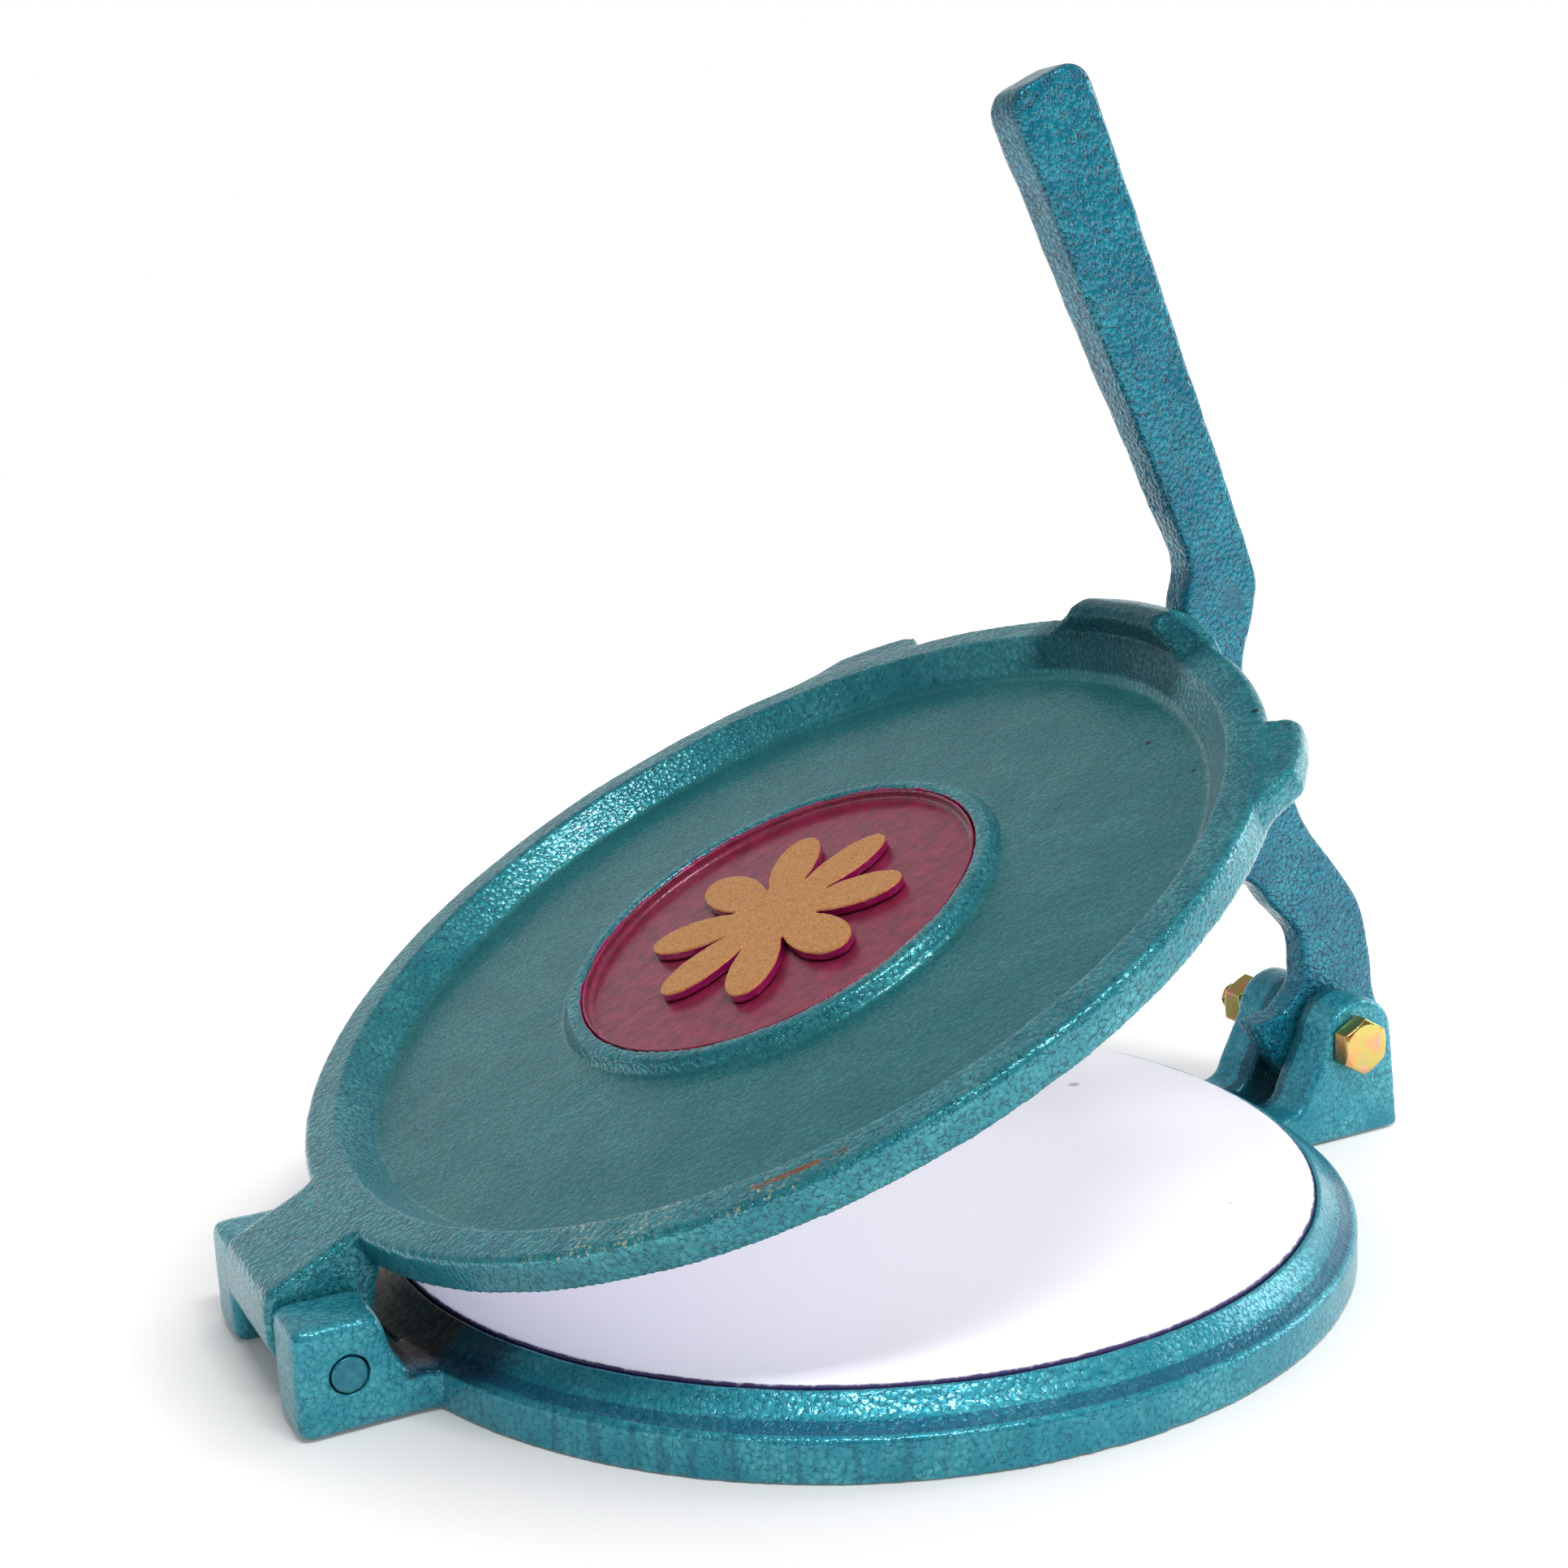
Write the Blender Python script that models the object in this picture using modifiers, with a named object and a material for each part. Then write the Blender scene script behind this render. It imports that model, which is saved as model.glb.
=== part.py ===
"""Roti press: two hinged iron castings with coated press faces and a hooked pressing lever.

World frame in metres: +Z up, the origin at the centre of the base's foot plane,
the hinge on the -X side, the lever on the +X side, the mid-plane at Y = 0.
Plate frame of the upper casting: its centre is on the turned axis at the foot of the outer wall.
"""
import math

import bmesh
import bpy
from mathutils import Matrix, Vector

# Clearances and overruns
TOUCH_GAP = 0.0003
SHUT_GAP = 0.0003
LEVER_SIDE_GAP = 0.0005
CUT_OVERRUN = 0.002
WELD = 0.00001
SLIVER = 0.00004

# Press faces
FACE_RADIUS = 0.092
FACE_THICKNESS = 0.0012
FACE_TOP = 0.0131

# Base casting: the stepped rim, then the hollow underside
RIM_LIP_WIDTH = 0.0005
RIM_SLOPE_WIDTH = 0.0032
RIM_SLOPE_DROP = 0.0030
SHOULDER_WIDTH = 0.0015
SHOULDER_DROP = 0.0010
GROOVE_WIDTH = 0.0019
GROOVE_DROP = 0.0012
RIM_EDGE_WIDTH = 0.0014
RIM_EDGE_ROUND = 0.0008
BASE_WEB = 0.0055
FOOT_WALL = 0.007
FOOT_HUB_RADIUS = 0.012
FOOT_RIB_WIDTH = 0.005
FOOT_RIB_COUNT = 4

# Hinge
PIN_RADIUS = 0.0032
PIN_SETBACK = 0.0115
PIN_HEIGHT = 0.0106
LUG_WIDTH = 0.0287
LUG_BARREL_RADIUS = 0.0086
LUG_TOP_REAR = 0.0036
LUG_CORNER_REACH = 0.0085
LUG_CORNER_RISE = 0.0058
LUG_TOP_ROUND = 0.0018
LUG_ROOT = 0.0056
LUG_BARREL_START = math.radians(170)
LUG_BARREL_END = math.radians(325)
EAR_WIDTH = 0.01435
EAR_REAR = 0.0094
EAR_FRONT = 0.0060
EAR_HEIGHT = 0.0201
EAR_FLARE = 0.0078
EAR_ROOT = 0.006
CAST_ROUND = 0.0016

# Clevis of the lever
PIVOT_SETBACK = 0.018
PIVOT_HEIGHT = 0.022
CLEVIS_EAR_WIDTH = 0.0118
CLEVIS_CROWN_RADIUS = 0.0093
CLEVIS_CROWN_SHIFT = 0.0023
CLEVIS_FRONT_SETBACK = 0.0007
CLEVIS_TOE_FLARE = 0.0022
CLEVIS_ROOT = 0.006
CLEVIS_ROUND = 0.0012

# Upper casting
PLATE_SHIFT = 0.0020
PLATE_LIFT = 0.00706
PLATE_OVERHANG = 0.0006
PLATE_RIM_HEIGHT = 0.007
PLATE_LAND_WIDTH = 0.0076
PLATE_BANK_WIDTH = 0.0056
PLATE_EDGE_ROUND = 0.0009
RING_HEIGHT = 0.0030
RING_TOP_WIDTH = 0.0027
RING_SLOPE_WIDTH = 0.0020

# Nose block that meets the lever
NOSE_HEIGHT = 0.013
NOSE_STEP_OUT = 0.0023
NOSE_SETBACK = 0.0068
NOSE_CREST_WIDTH = 0.0034
NOSE_CREST_HALF = 0.0140
NOSE_FOOT_HALF = 0.0245
NOSE_ROUND = 0.0010

# Finger tabs, one on each side
TAB_STEP_OUT = 0.0062
TAB_DROP = 0.0002
TAB_UNDERCUT = 0.0008
TAB_ROOT = 0.0035

# Badge inside the boss ring
BADGE_RADIUS = 0.0418
BADGE_SEAT_DEPTH = 0.0006
BADGE_FLOOR = 0.0008
BADGE_WALL = 0.0006
ROSETTE_MARGIN = 0.0143
ROSETTE_THICKNESS = 0.0019
ROSETTE_PETALS = 8
ROSETTE_PETAL_POINTS = 16
ROSETTE_WAIST_SHARE = 0.34
ROSETTE_BLUNTNESS = 0.75

# Lever
LEVER_THICKNESS = 0.0070
GRIP_THICKNESS = 0.0102
HUB_REACH = 0.020
NECK_RISE = 0.102
ELBOW_SET = 0.0242
GRIP_LENGTH = 0.1103
GRIP_LEAN = math.radians(23.9)
GRIP_WIDTH_LOW = 0.0143
GRIP_WIDTH_TOP = 0.0194
GRIP_START = 0.006
TIP_ROUND = 0.005
LEVER_ROUND = 0.0012

# Pivot bolt and nut, quarter inch with seven-sixteenths hexagons
BOLT_RADIUS = 0.003175
HEX_FLATS = 0.0111
HEAD_HEIGHT = 0.0041
NUT_HEIGHT = 0.0056
BOLT_STICK_OUT = 0.0043
HEX_CHAMFER = 0.0006

# Facet counts
CASTING_STEPS = 96
RING_STEPS = 48
SHAFT_STEPS = 32
CURVE_STEPS = 2
CORNER_STEPS = 4

# The search for the resting angle
SEARCH_START = math.radians(80)
SEARCH_STEP = math.radians(0.5)

# Outline tables. Each pair is (across, up) in shares of the sizes named in their functions.
EAR_FLARE_SHARES = ((0.0, 0.0), (0.12, 0.28), (0.26, 0.63), (0.44, 0.88), (0.70, 0.97), (1.0, 1.0))
CLEVIS_FOOT_SHARES = ((-1.0, 0.0), (-0.45, 0.06), (0.10, 0.40), (0.30, 1.0))
HUB_UNDER_SHARES = (
    (-0.53, -0.34), (-0.30, -0.58), (0.05, -0.72), (0.45, -0.74), (0.80, -0.66), (1.08, -0.52),
    (1.165, -0.39),
)
HUB_OUTER_SHARES = (
    (1.165, -0.39), (1.08, -0.19), (0.985, 0.0), (0.905, 0.17), (0.86, 0.32), (0.835, 0.50), (0.80, 0.70),
    (0.755, 0.92), (0.715, 1.10), (0.64, 1.32), (0.53, 1.52), (0.38, 1.72), (0.20, 1.93), (0.02, 2.14),
    (-0.19, 2.41),
)
NECK_OUTER_SHARES = (
    (-0.264, 0.528), (-0.43, 0.578), (-0.59, 0.632), (-0.725, 0.690), (-0.81, 0.75), (-0.835, 0.805),
    (-0.822, 0.846), (-0.777, 0.889), (-0.723, 0.94), (-0.702, 0.989), (-0.735, 1.025),
)
NECK_INNER_SHARES = (
    (-1.442, 1.064), (-1.417, 1.030), (-1.446, 0.997), (-1.479, 0.965), (-1.479, 0.935), (-1.541, 0.908),
    (-1.588, 0.885), (-1.583, 0.860), (-1.545, 0.80), (-1.483, 0.73), (-1.372, 0.645), (-1.20, 0.55),
    (-0.99, 0.455), (-0.773, 0.359),
)
MOUTH_SHARES = (
    (-0.935, 1.83), (-0.745, 1.69), (-0.59, 1.475), (-0.385, 1.285), (-0.235, 1.115), (-0.18, 0.935),
    (-0.165, 0.72), (-0.175, 0.50), (-0.38, 0.275), (-0.49, 0.225), (-0.66, 0.20), (-0.85, 0.16),
)
TAB_SHARES = ((0.0, 0.0), (0.06, 0.75), (0.16, 1.0), (0.40, 1.0), (0.64, 0.93), (0.76, 0.55), (1.0, 0.0))
TAB_FIRST_ANGLE = math.radians(37.5)
TAB_LAST_ANGLE = math.radians(56.0)

# Sizes that follow from the ones above
RIM_WIDTH = RIM_SLOPE_WIDTH + SHOULDER_WIDTH + GROOVE_WIDTH + RIM_EDGE_WIDTH
BASE_RADIUS = FACE_RADIUS + RIM_WIDTH
SEAT_RADIUS = FACE_RADIUS + TOUCH_GAP
BASE_SEAT = FACE_TOP - FACE_THICKNESS - TOUCH_GAP
BASE_CEILING = BASE_SEAT - BASE_WEB
SLOPE_FOOT = FACE_TOP - RIM_SLOPE_DROP
SHOULDER_FOOT = SLOPE_FOOT - SHOULDER_DROP
RIM_TOP = SHOULDER_FOOT - GROOVE_DROP
PIN_X = -(BASE_RADIUS + PIN_SETBACK)
PIVOT_X = BASE_RADIUS + PIVOT_SETBACK
PIN_BORE = PIN_RADIUS + TOUCH_GAP
BOLT_BORE = BOLT_RADIUS + TOUCH_GAP
EAR_INNER = LUG_WIDTH / 2 + TOUCH_GAP
EAR_OUTER = EAR_INNER + EAR_WIDTH
CLEVIS_INNER = LEVER_THICKNESS / 2 + LEVER_SIDE_GAP
CLEVIS_OUTER = CLEVIS_INNER + CLEVIS_EAR_WIDTH
UPPER_FACE_LEVEL = FACE_TOP + SHUT_GAP - PIN_HEIGHT - PLATE_LIFT
UPPER_SEAT = UPPER_FACE_LEVEL + FACE_THICKNESS + TOUCH_GAP
PLATE_REACH = BASE_RADIUS + PIN_SETBACK + PLATE_SHIFT
PLATE_RADIUS = BASE_RADIUS + PLATE_OVERHANG
LAND_INNER = PLATE_RADIUS - PLATE_LAND_WIDTH
DISH_RADIUS = LAND_INNER - PLATE_BANK_WIDTH
NOSE_REACH = PLATE_RADIUS + NOSE_STEP_OUT
NOSE_INNER = PLATE_RADIUS - NOSE_SETBACK
TAB_RADIUS = PLATE_RADIUS + TAB_STEP_OUT
BADGE_SEAT = -BADGE_SEAT_DEPTH
BADGE_BOTTOM = BADGE_SEAT + TOUCH_GAP
BADGE_TOP = BADGE_BOTTOM + BADGE_FLOOR
RING_INNER = BADGE_RADIUS + TOUCH_GAP
ROSETTE_RADIUS = BADGE_RADIUS - ROSETTE_MARGIN
HEX_RADIUS = HEX_FLATS / math.sqrt(3)

# Colours from the object: linear red, green, blue
TEAL = (0.030, 0.190, 0.230)
WHITE = (0.86, 0.86, 0.95)
CRIMSON = (0.30, 0.025, 0.075)
GILT = (0.58, 0.28, 0.10)
ZINC = (0.72, 0.50, 0.22)
STEEL = (0.42, 0.42, 0.43)


def clear_scene():
    """Remove every object that the file holds."""
    for obj in list(bpy.data.objects):
        bpy.data.objects.remove(obj, do_unlink=True)


def new_collection(name):
    """A collection linked to the scene."""
    group = bpy.data.collections.new(name)
    bpy.context.scene.collection.children.link(group)
    return group


def new_material(name, colour, roughness, metallic):
    """A Principled material."""
    material = bpy.data.materials.new(name)
    material.use_nodes = True
    shader = material.node_tree.nodes["Principled BSDF"]
    shader.inputs["Base Color"].default_value = (*colour, 1.0)
    shader.inputs["Roughness"].default_value = roughness
    shader.inputs["Metallic"].default_value = metallic
    material.diffuse_color = (*colour, 1.0)
    return material


def add_object(name, data, group, parent=None, place=None):
    """Link an object, under a parent if one is given."""
    obj = bpy.data.objects.new(name, data)
    group.objects.link(obj)
    obj.parent = parent
    obj.matrix_basis = place or Matrix.Identity(4)
    return obj


def hide_helper(obj):
    """Keep a cutter or a joined block out of the model."""
    obj.hide_render = True
    obj.display_type = "WIRE"
    return obj


def turned(name, profile, steps, group, parent=None, place=None):
    """A solid of revolution about local Z from (radius, height) points, outer side running down."""
    mesh = bpy.data.meshes.new(name)
    corners = [(radius, 0.0, height) for radius, height in profile]
    closed = profile[0][0] > 0
    sides = [(index, index + 1) for index in range(len(profile) - 1)]
    if closed:
        sides.append((len(profile) - 1, 0))
    mesh.from_pydata(corners, sides, [])
    obj = add_object(name, mesh, group, parent, place)
    screw = obj.modifiers.new("turn", "SCREW")
    screw.axis = "Z"
    screw.angle = math.tau
    screw.steps = steps
    screw.render_steps = steps
    screw.use_merge_vertices = True
    screw.merge_threshold = WELD
    return obj


def slab(name, outline, thickness, group, parent=None, place=None):
    """A flat outline in local XY, filled and thickened evenly about its plane."""
    curve = bpy.data.curves.new(name + "_outline", "CURVE")
    curve.dimensions = "2D"
    curve.fill_mode = "BOTH"
    curve.extrude = thickness / 2
    spline = curve.splines.new("POLY")
    spline.points.add(len(outline) - 1)
    for point, (across, up) in zip(spline.points, outline):
        point.co = (across, up, 0.0, 1.0)
    spline.use_cyclic_u = True
    drawn = add_object(name + "_outline", curve, group, parent, place)
    bpy.context.view_layer.update()
    graph = bpy.context.evaluated_depsgraph_get()
    mesh = bpy.data.meshes.new_from_object(drawn.evaluated_get(graph))
    mesh.name = name
    weld_caps(mesh)
    obj = add_object(name, mesh, group, parent, place)
    obj.matrix_world = drawn.matrix_world
    bpy.data.objects.remove(drawn, do_unlink=True)
    return obj


def weld_caps(mesh):
    """Join the loose caps of a filled curve to its sides."""
    work = bmesh.new()
    work.from_mesh(mesh)
    bmesh.ops.remove_doubles(work, verts=work.verts, dist=WELD)
    work.to_mesh(mesh)
    work.free()


def round_edges(obj, width, segments=2, angle=math.radians(35)):
    """Round the edges that are sharper than the angle."""
    bevel = obj.modifiers.new("rounded edges", "BEVEL")
    bevel.width = width
    bevel.segments = segments
    bevel.limit_method = "ANGLE"
    bevel.angle_limit = angle
    return obj


def combine(obj, other, operation):
    """Add, cut or keep what another solid covers."""
    step = obj.modifiers.new(other.name, "BOOLEAN")
    step.operation = operation
    step.solver = "EXACT"
    step.object = other
    return obj


def clear_slivers(mesh):
    """Close up the hair-thin faces that cuts and rounded edges leave."""
    work = bmesh.new()
    work.from_mesh(mesh)
    bmesh.ops.remove_doubles(work, verts=work.verts, dist=SLIVER)
    bmesh.ops.dissolve_degenerate(work, edges=work.edges, dist=SLIVER)
    bmesh.ops.triangulate(work, faces=work.faces)
    work.to_mesh(mesh)
    work.free()


def settle(obj, material, sharp=math.radians(30)):
    """Turn the modifiers' result into the object's own mesh, smooth but for its sharp edges."""
    bpy.context.view_layer.update()
    graph = bpy.context.evaluated_depsgraph_get()
    mesh = bpy.data.meshes.new_from_object(obj.evaluated_get(graph))
    mesh.name = obj.name
    clear_slivers(mesh)
    obj.modifiers.clear()
    obj.data = mesh
    mesh.materials.clear()
    mesh.materials.append(material)
    mesh.shade_smooth()
    mesh.set_sharp_from_angle(angle=sharp)
    return obj


def flat_standing(x=0.0, y=0.0, z=0.0):
    """Placement that stands a local XY outline up in the XZ plane, thick along Y."""
    return Matrix.Translation((x, y, z)) @ Matrix.Rotation(math.pi / 2, 4, "X")


def flow(points, steps=CURVE_STEPS):
    """A smooth run through hand-picked points, with extra points between them."""
    last = len(points) - 1
    run = []
    for index in range(last):
        before = Vector(points[max(index - 1, 0)])
        here = Vector(points[index])
        there = Vector(points[index + 1])
        after = Vector(points[min(index + 2, last)])
        for step in range(steps):
            t = step / steps
            pull = (there - before) * t + (2 * before - 5 * here + 4 * there - after) * t * t
            pull += (3 * here - before - 3 * there + after) * t * t * t
            run.append(tuple(here + pull / 2))
    run.append(tuple(points[last]))
    return run


def arc(centre, radius, start, end, count):
    """Points on an arc, both ends included."""
    turns = [start + (end - start) * index / count for index in range(count + 1)]
    return [(centre[0] + radius * math.cos(turn), centre[1] + radius * math.sin(turn)) for turn in turns]


def shaft(name, radius, low, high, group):
    """A round bar along Y at the local origin."""
    mesh = bpy.data.meshes.new(name)
    work = bmesh.new()
    bmesh.ops.create_cone(
        work, cap_ends=True, segments=SHAFT_STEPS, radius1=radius, radius2=radius, depth=high - low)
    middle = Matrix.Translation((0.0, (high + low) / 2, 0.0))
    bmesh.ops.transform(work, matrix=middle @ Matrix.Rotation(math.pi / 2, 4, "X"), verts=work.verts)
    work.to_mesh(mesh)
    work.free()
    return add_object(name, mesh, group)


def block(name, low, high, group, place=None):
    """A box between two corners."""
    mesh = bpy.data.meshes.new(name)
    work = bmesh.new()
    size = Vector(high) - Vector(low)
    centre = (Vector(high) + Vector(low)) / 2
    bmesh.ops.create_cube(work, size=1.0, matrix=Matrix.Translation(centre) @ Matrix.Diagonal((*size, 1.0)))
    work.to_mesh(mesh)
    work.free()
    return add_object(name, mesh, group, place=place)


# Base casting
def base_profile():
    """Half section of the base: seat, stepped rim, foot wall, hollow and foot hub."""
    slope_end = FACE_RADIUS + RIM_SLOPE_WIDTH
    shoulder_end = slope_end + SHOULDER_WIDTH
    groove_end = shoulder_end + GROOVE_WIDTH
    foot_inner = BASE_RADIUS - FOOT_WALL
    return [
        (0.0, BASE_SEAT),
        (SEAT_RADIUS, BASE_SEAT),
        (SEAT_RADIUS, FACE_TOP - TOUCH_GAP),
        (SEAT_RADIUS + RIM_LIP_WIDTH, FACE_TOP - TOUCH_GAP),
        (slope_end, SLOPE_FOOT),
        (shoulder_end, SHOULDER_FOOT),
        (groove_end, RIM_TOP),
        (BASE_RADIUS - RIM_EDGE_ROUND, RIM_TOP),
        (BASE_RADIUS, RIM_TOP - RIM_EDGE_ROUND),
        (BASE_RADIUS, 0.0),
        (foot_inner, 0.0),
        (foot_inner, BASE_CEILING),
        (FOOT_HUB_RADIUS, BASE_CEILING),
        (FOOT_HUB_RADIUS, 0.0),
        (0.0, 0.0),
    ]


def ear_outline():
    """Side outline of a hinge ear about the pin's x, with a flared front foot on the rim."""
    fall = EAR_HEIGHT - RIM_TOP
    flare = [(EAR_FRONT + EAR_FLARE * out, EAR_HEIGHT - fall * down) for out, down in EAR_FLARE_SHARES]
    root = PIN_SETBACK + EAR_ROOT
    root_top = RIM_TOP - TOUCH_GAP
    return [(-EAR_REAR, 0.0), (-EAR_REAR, EAR_HEIGHT)] + flare + [(root, root_top), (root, 0.0)]


def clevis_outline():
    """Side outline of a clevis ear about the bolt's x: leaning front, round crown, flared back."""
    crown = (CLEVIS_CROWN_SHIFT, PIVOT_HEIGHT)
    lean = (CLEVIS_CROWN_SHIFT - CLEVIS_CROWN_RADIUS + PIVOT_SETBACK - CLEVIS_FRONT_SETBACK) / PIVOT_HEIGHT
    front_low = CLEVIS_FRONT_SETBACK - PIVOT_SETBACK
    front_foot = front_low + lean * RIM_TOP
    swell = lean * RIM_TOP
    foot = [(front_foot + swell * out, RIM_TOP + swell * up) for out, up in CLEVIS_FOOT_SHARES]
    over = arc(crown, CLEVIS_CROWN_RADIUS, math.pi, 0.0, RING_STEPS // 4)
    back_low = CLEVIS_CROWN_SHIFT + CLEVIS_CROWN_RADIUS + CLEVIS_TOE_FLARE
    root = -(PIVOT_SETBACK + CLEVIS_ROOT)
    root_top = RIM_TOP - TOUCH_GAP
    return [(root, 0.0), (root, root_top)] + foot + over + [(back_low, 0.0)]


def make_base(parts, helpers, material):
    """The lower casting with hinge ears, clevis and foot ribs."""
    base = turned("base_plate", base_profile(), CASTING_STEPS, parts)
    for side, label in ((-1, "near"), (1, "far")):
        ear_middle = side * (EAR_INNER + EAR_OUTER) / 2
        ear = slab("hinge_ear_" + label, ear_outline(), EAR_WIDTH, helpers,
                   place=flat_standing(PIN_X, ear_middle))
        combine(base, hide_helper(round_edges(ear, CAST_ROUND)), "UNION")
        clevis_middle = side * (CLEVIS_INNER + CLEVIS_OUTER) / 2
        clevis = slab("clevis_ear_" + label, clevis_outline(), CLEVIS_EAR_WIDTH, helpers,
                      place=flat_standing(PIVOT_X, clevis_middle))
        combine(base, hide_helper(round_edges(clevis, CLEVIS_ROUND)), "UNION")
    rib_reach = BASE_RADIUS - FOOT_WALL / 2
    for index in range(FOOT_RIB_COUNT // 2):
        turn = Matrix.Rotation(math.tau * (index + 0.5) / FOOT_RIB_COUNT, 4, "Z")
        low = (-rib_reach, -FOOT_RIB_WIDTH / 2, 0.0)
        high = (rib_reach, FOOT_RIB_WIDTH / 2, BASE_CEILING + BASE_WEB / 2)
        rib = block("foot_rib_%d" % (index + 1), low, high, helpers, place=turn)
        combine(base, hide_helper(rib), "UNION")
    pin_reach = EAR_OUTER + CUT_OVERRUN
    pin_hole = shaft("pin_hole", PIN_BORE, -pin_reach, pin_reach, helpers)
    pin_hole.location = (PIN_X, 0.0, PIN_HEIGHT)
    bolt_reach = CLEVIS_OUTER + CUT_OVERRUN
    bolt_hole = shaft("bolt_hole", BOLT_BORE, -bolt_reach, bolt_reach, helpers)
    bolt_hole.location = (PIVOT_X, 0.0, PIVOT_HEIGHT)
    combine(base, hide_helper(pin_hole), "DIFFERENCE")
    combine(base, hide_helper(bolt_hole), "DIFFERENCE")
    return settle(base, material)


# Press faces
def face_profile(bottom, top):
    """Half section of a coated disc."""
    return [(0.0, top), (FACE_RADIUS, top), (FACE_RADIUS, bottom), (0.0, bottom)]


def make_faces(parts, hinge, material):
    """The lower disc in the base and the matching one under the upper casting."""
    lower_profile = face_profile(FACE_TOP - FACE_THICKNESS, FACE_TOP)
    lower = turned("press_face_lower", lower_profile, CASTING_STEPS, parts)
    settle(lower, material)
    upper_profile = face_profile(UPPER_FACE_LEVEL, UPPER_FACE_LEVEL + FACE_THICKNESS)
    upper = turned("press_face_upper", upper_profile, CASTING_STEPS, parts, hinge, plate_place())
    settle(upper, material)


# Upper casting
def plate_place():
    """Where the plate frame sits under the hinge empty."""
    return Matrix.Translation((PLATE_REACH, 0.0, PLATE_LIFT))


def plate_profile():
    """Half section of the upper casting: badge seat, boss ring, dish, bank, land, wall, platform."""
    ring_outer = RING_INNER + RING_TOP_WIDTH
    platform = SEAT_RADIUS + RIM_LIP_WIDTH
    platform_level = UPPER_FACE_LEVEL + TOUCH_GAP
    return [
        (0.0, BADGE_SEAT),
        (RING_INNER, BADGE_SEAT),
        (RING_INNER, RING_HEIGHT),
        (ring_outer, RING_HEIGHT),
        (ring_outer + RING_SLOPE_WIDTH, 0.0),
        (DISH_RADIUS, 0.0),
        (LAND_INNER, PLATE_RIM_HEIGHT),
        (PLATE_RADIUS - PLATE_EDGE_ROUND, PLATE_RIM_HEIGHT),
        (PLATE_RADIUS, PLATE_RIM_HEIGHT - PLATE_EDGE_ROUND),
        (PLATE_RADIUS, 0.0),
        (platform, 0.0),
        (platform, platform_level),
        (SEAT_RADIUS, platform_level),
        (SEAT_RADIUS, UPPER_SEAT),
        (0.0, UPPER_SEAT),
    ]


def lug_outline():
    """Side outline of the hinge lug about the pin: flush top, sloping back, barrel round the pin."""
    top = PLATE_LIFT + PLATE_RIM_HEIGHT - TAB_DROP
    root = PLATE_REACH - PLATE_RADIUS + LUG_ROOT
    back_top = (-LUG_TOP_REAR - LUG_TOP_ROUND, top - LUG_TOP_ROUND)
    corner = (-LUG_CORNER_REACH, LUG_CORNER_RISE)
    barrel = arc((0.0, 0.0), LUG_BARREL_RADIUS, LUG_BARREL_START, LUG_BARREL_END, RING_STEPS // 4)
    throat = (PLATE_REACH - PLATE_RADIUS, PLATE_LIFT / 2)
    inside = (root, PLATE_LIFT + CUT_OVERRUN)
    return [(root, top), (-LUG_TOP_REAR, top), back_top, corner] + barrel + [throat, inside]


def nose_section():
    """Half section of the nose block: steep inner face, flat crest, back falling outwards."""
    crest_end = NOSE_INNER + NOSE_ROUND + NOSE_CREST_WIDTH
    shoulder = NOSE_HEIGHT - (NOSE_REACH - crest_end) / 2
    return [
        (NOSE_INNER, NOSE_HEIGHT - NOSE_ROUND),
        (NOSE_INNER + NOSE_ROUND, NOSE_HEIGHT),
        (crest_end, NOSE_HEIGHT),
        ((crest_end + NOSE_REACH) / 2 + NOSE_ROUND / 2, (NOSE_HEIGHT + shoulder) / 2),
        (NOSE_REACH, shoulder - NOSE_ROUND),
        (NOSE_REACH, NOSE_ROUND),
        (NOSE_REACH - NOSE_ROUND, 0.0),
        (NOSE_INNER, 0.0),
    ]


def nose_gate_outline():
    """Front outline of the nose block across the rim: narrow crest, wide feet."""
    return [
        (-NOSE_FOOT_HALF, -CUT_OVERRUN),
        (-NOSE_FOOT_HALF, PLATE_RIM_HEIGHT - NOSE_ROUND),
        (-NOSE_CREST_HALF - NOSE_ROUND, NOSE_HEIGHT - NOSE_ROUND),
        (-NOSE_CREST_HALF, NOSE_HEIGHT + CUT_OVERRUN),
        (NOSE_CREST_HALF, NOSE_HEIGHT + CUT_OVERRUN),
        (NOSE_CREST_HALF + NOSE_ROUND, NOSE_HEIGHT - NOSE_ROUND),
        (NOSE_FOOT_HALF, PLATE_RIM_HEIGHT - NOSE_ROUND),
        (NOSE_FOOT_HALF, -CUT_OVERRUN),
    ]


def tab_outline():
    """Plan outline of one finger tab between its two angles on the rim."""
    inner = PLATE_RADIUS - TAB_ROOT
    points = []
    for along, out in TAB_SHARES:
        angle = TAB_FIRST_ANGLE + (TAB_LAST_ANGLE - TAB_FIRST_ANGLE) * along
        radius = PLATE_RADIUS - PLATE_EDGE_ROUND + (TAB_RADIUS - PLATE_RADIUS + PLATE_EDGE_ROUND) * out
        points.append((radius * math.cos(angle), radius * math.sin(angle)))
    for angle in (TAB_LAST_ANGLE, TAB_FIRST_ANGLE):
        points.append((inner * math.cos(angle), inner * math.sin(angle)))
    return points


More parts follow.
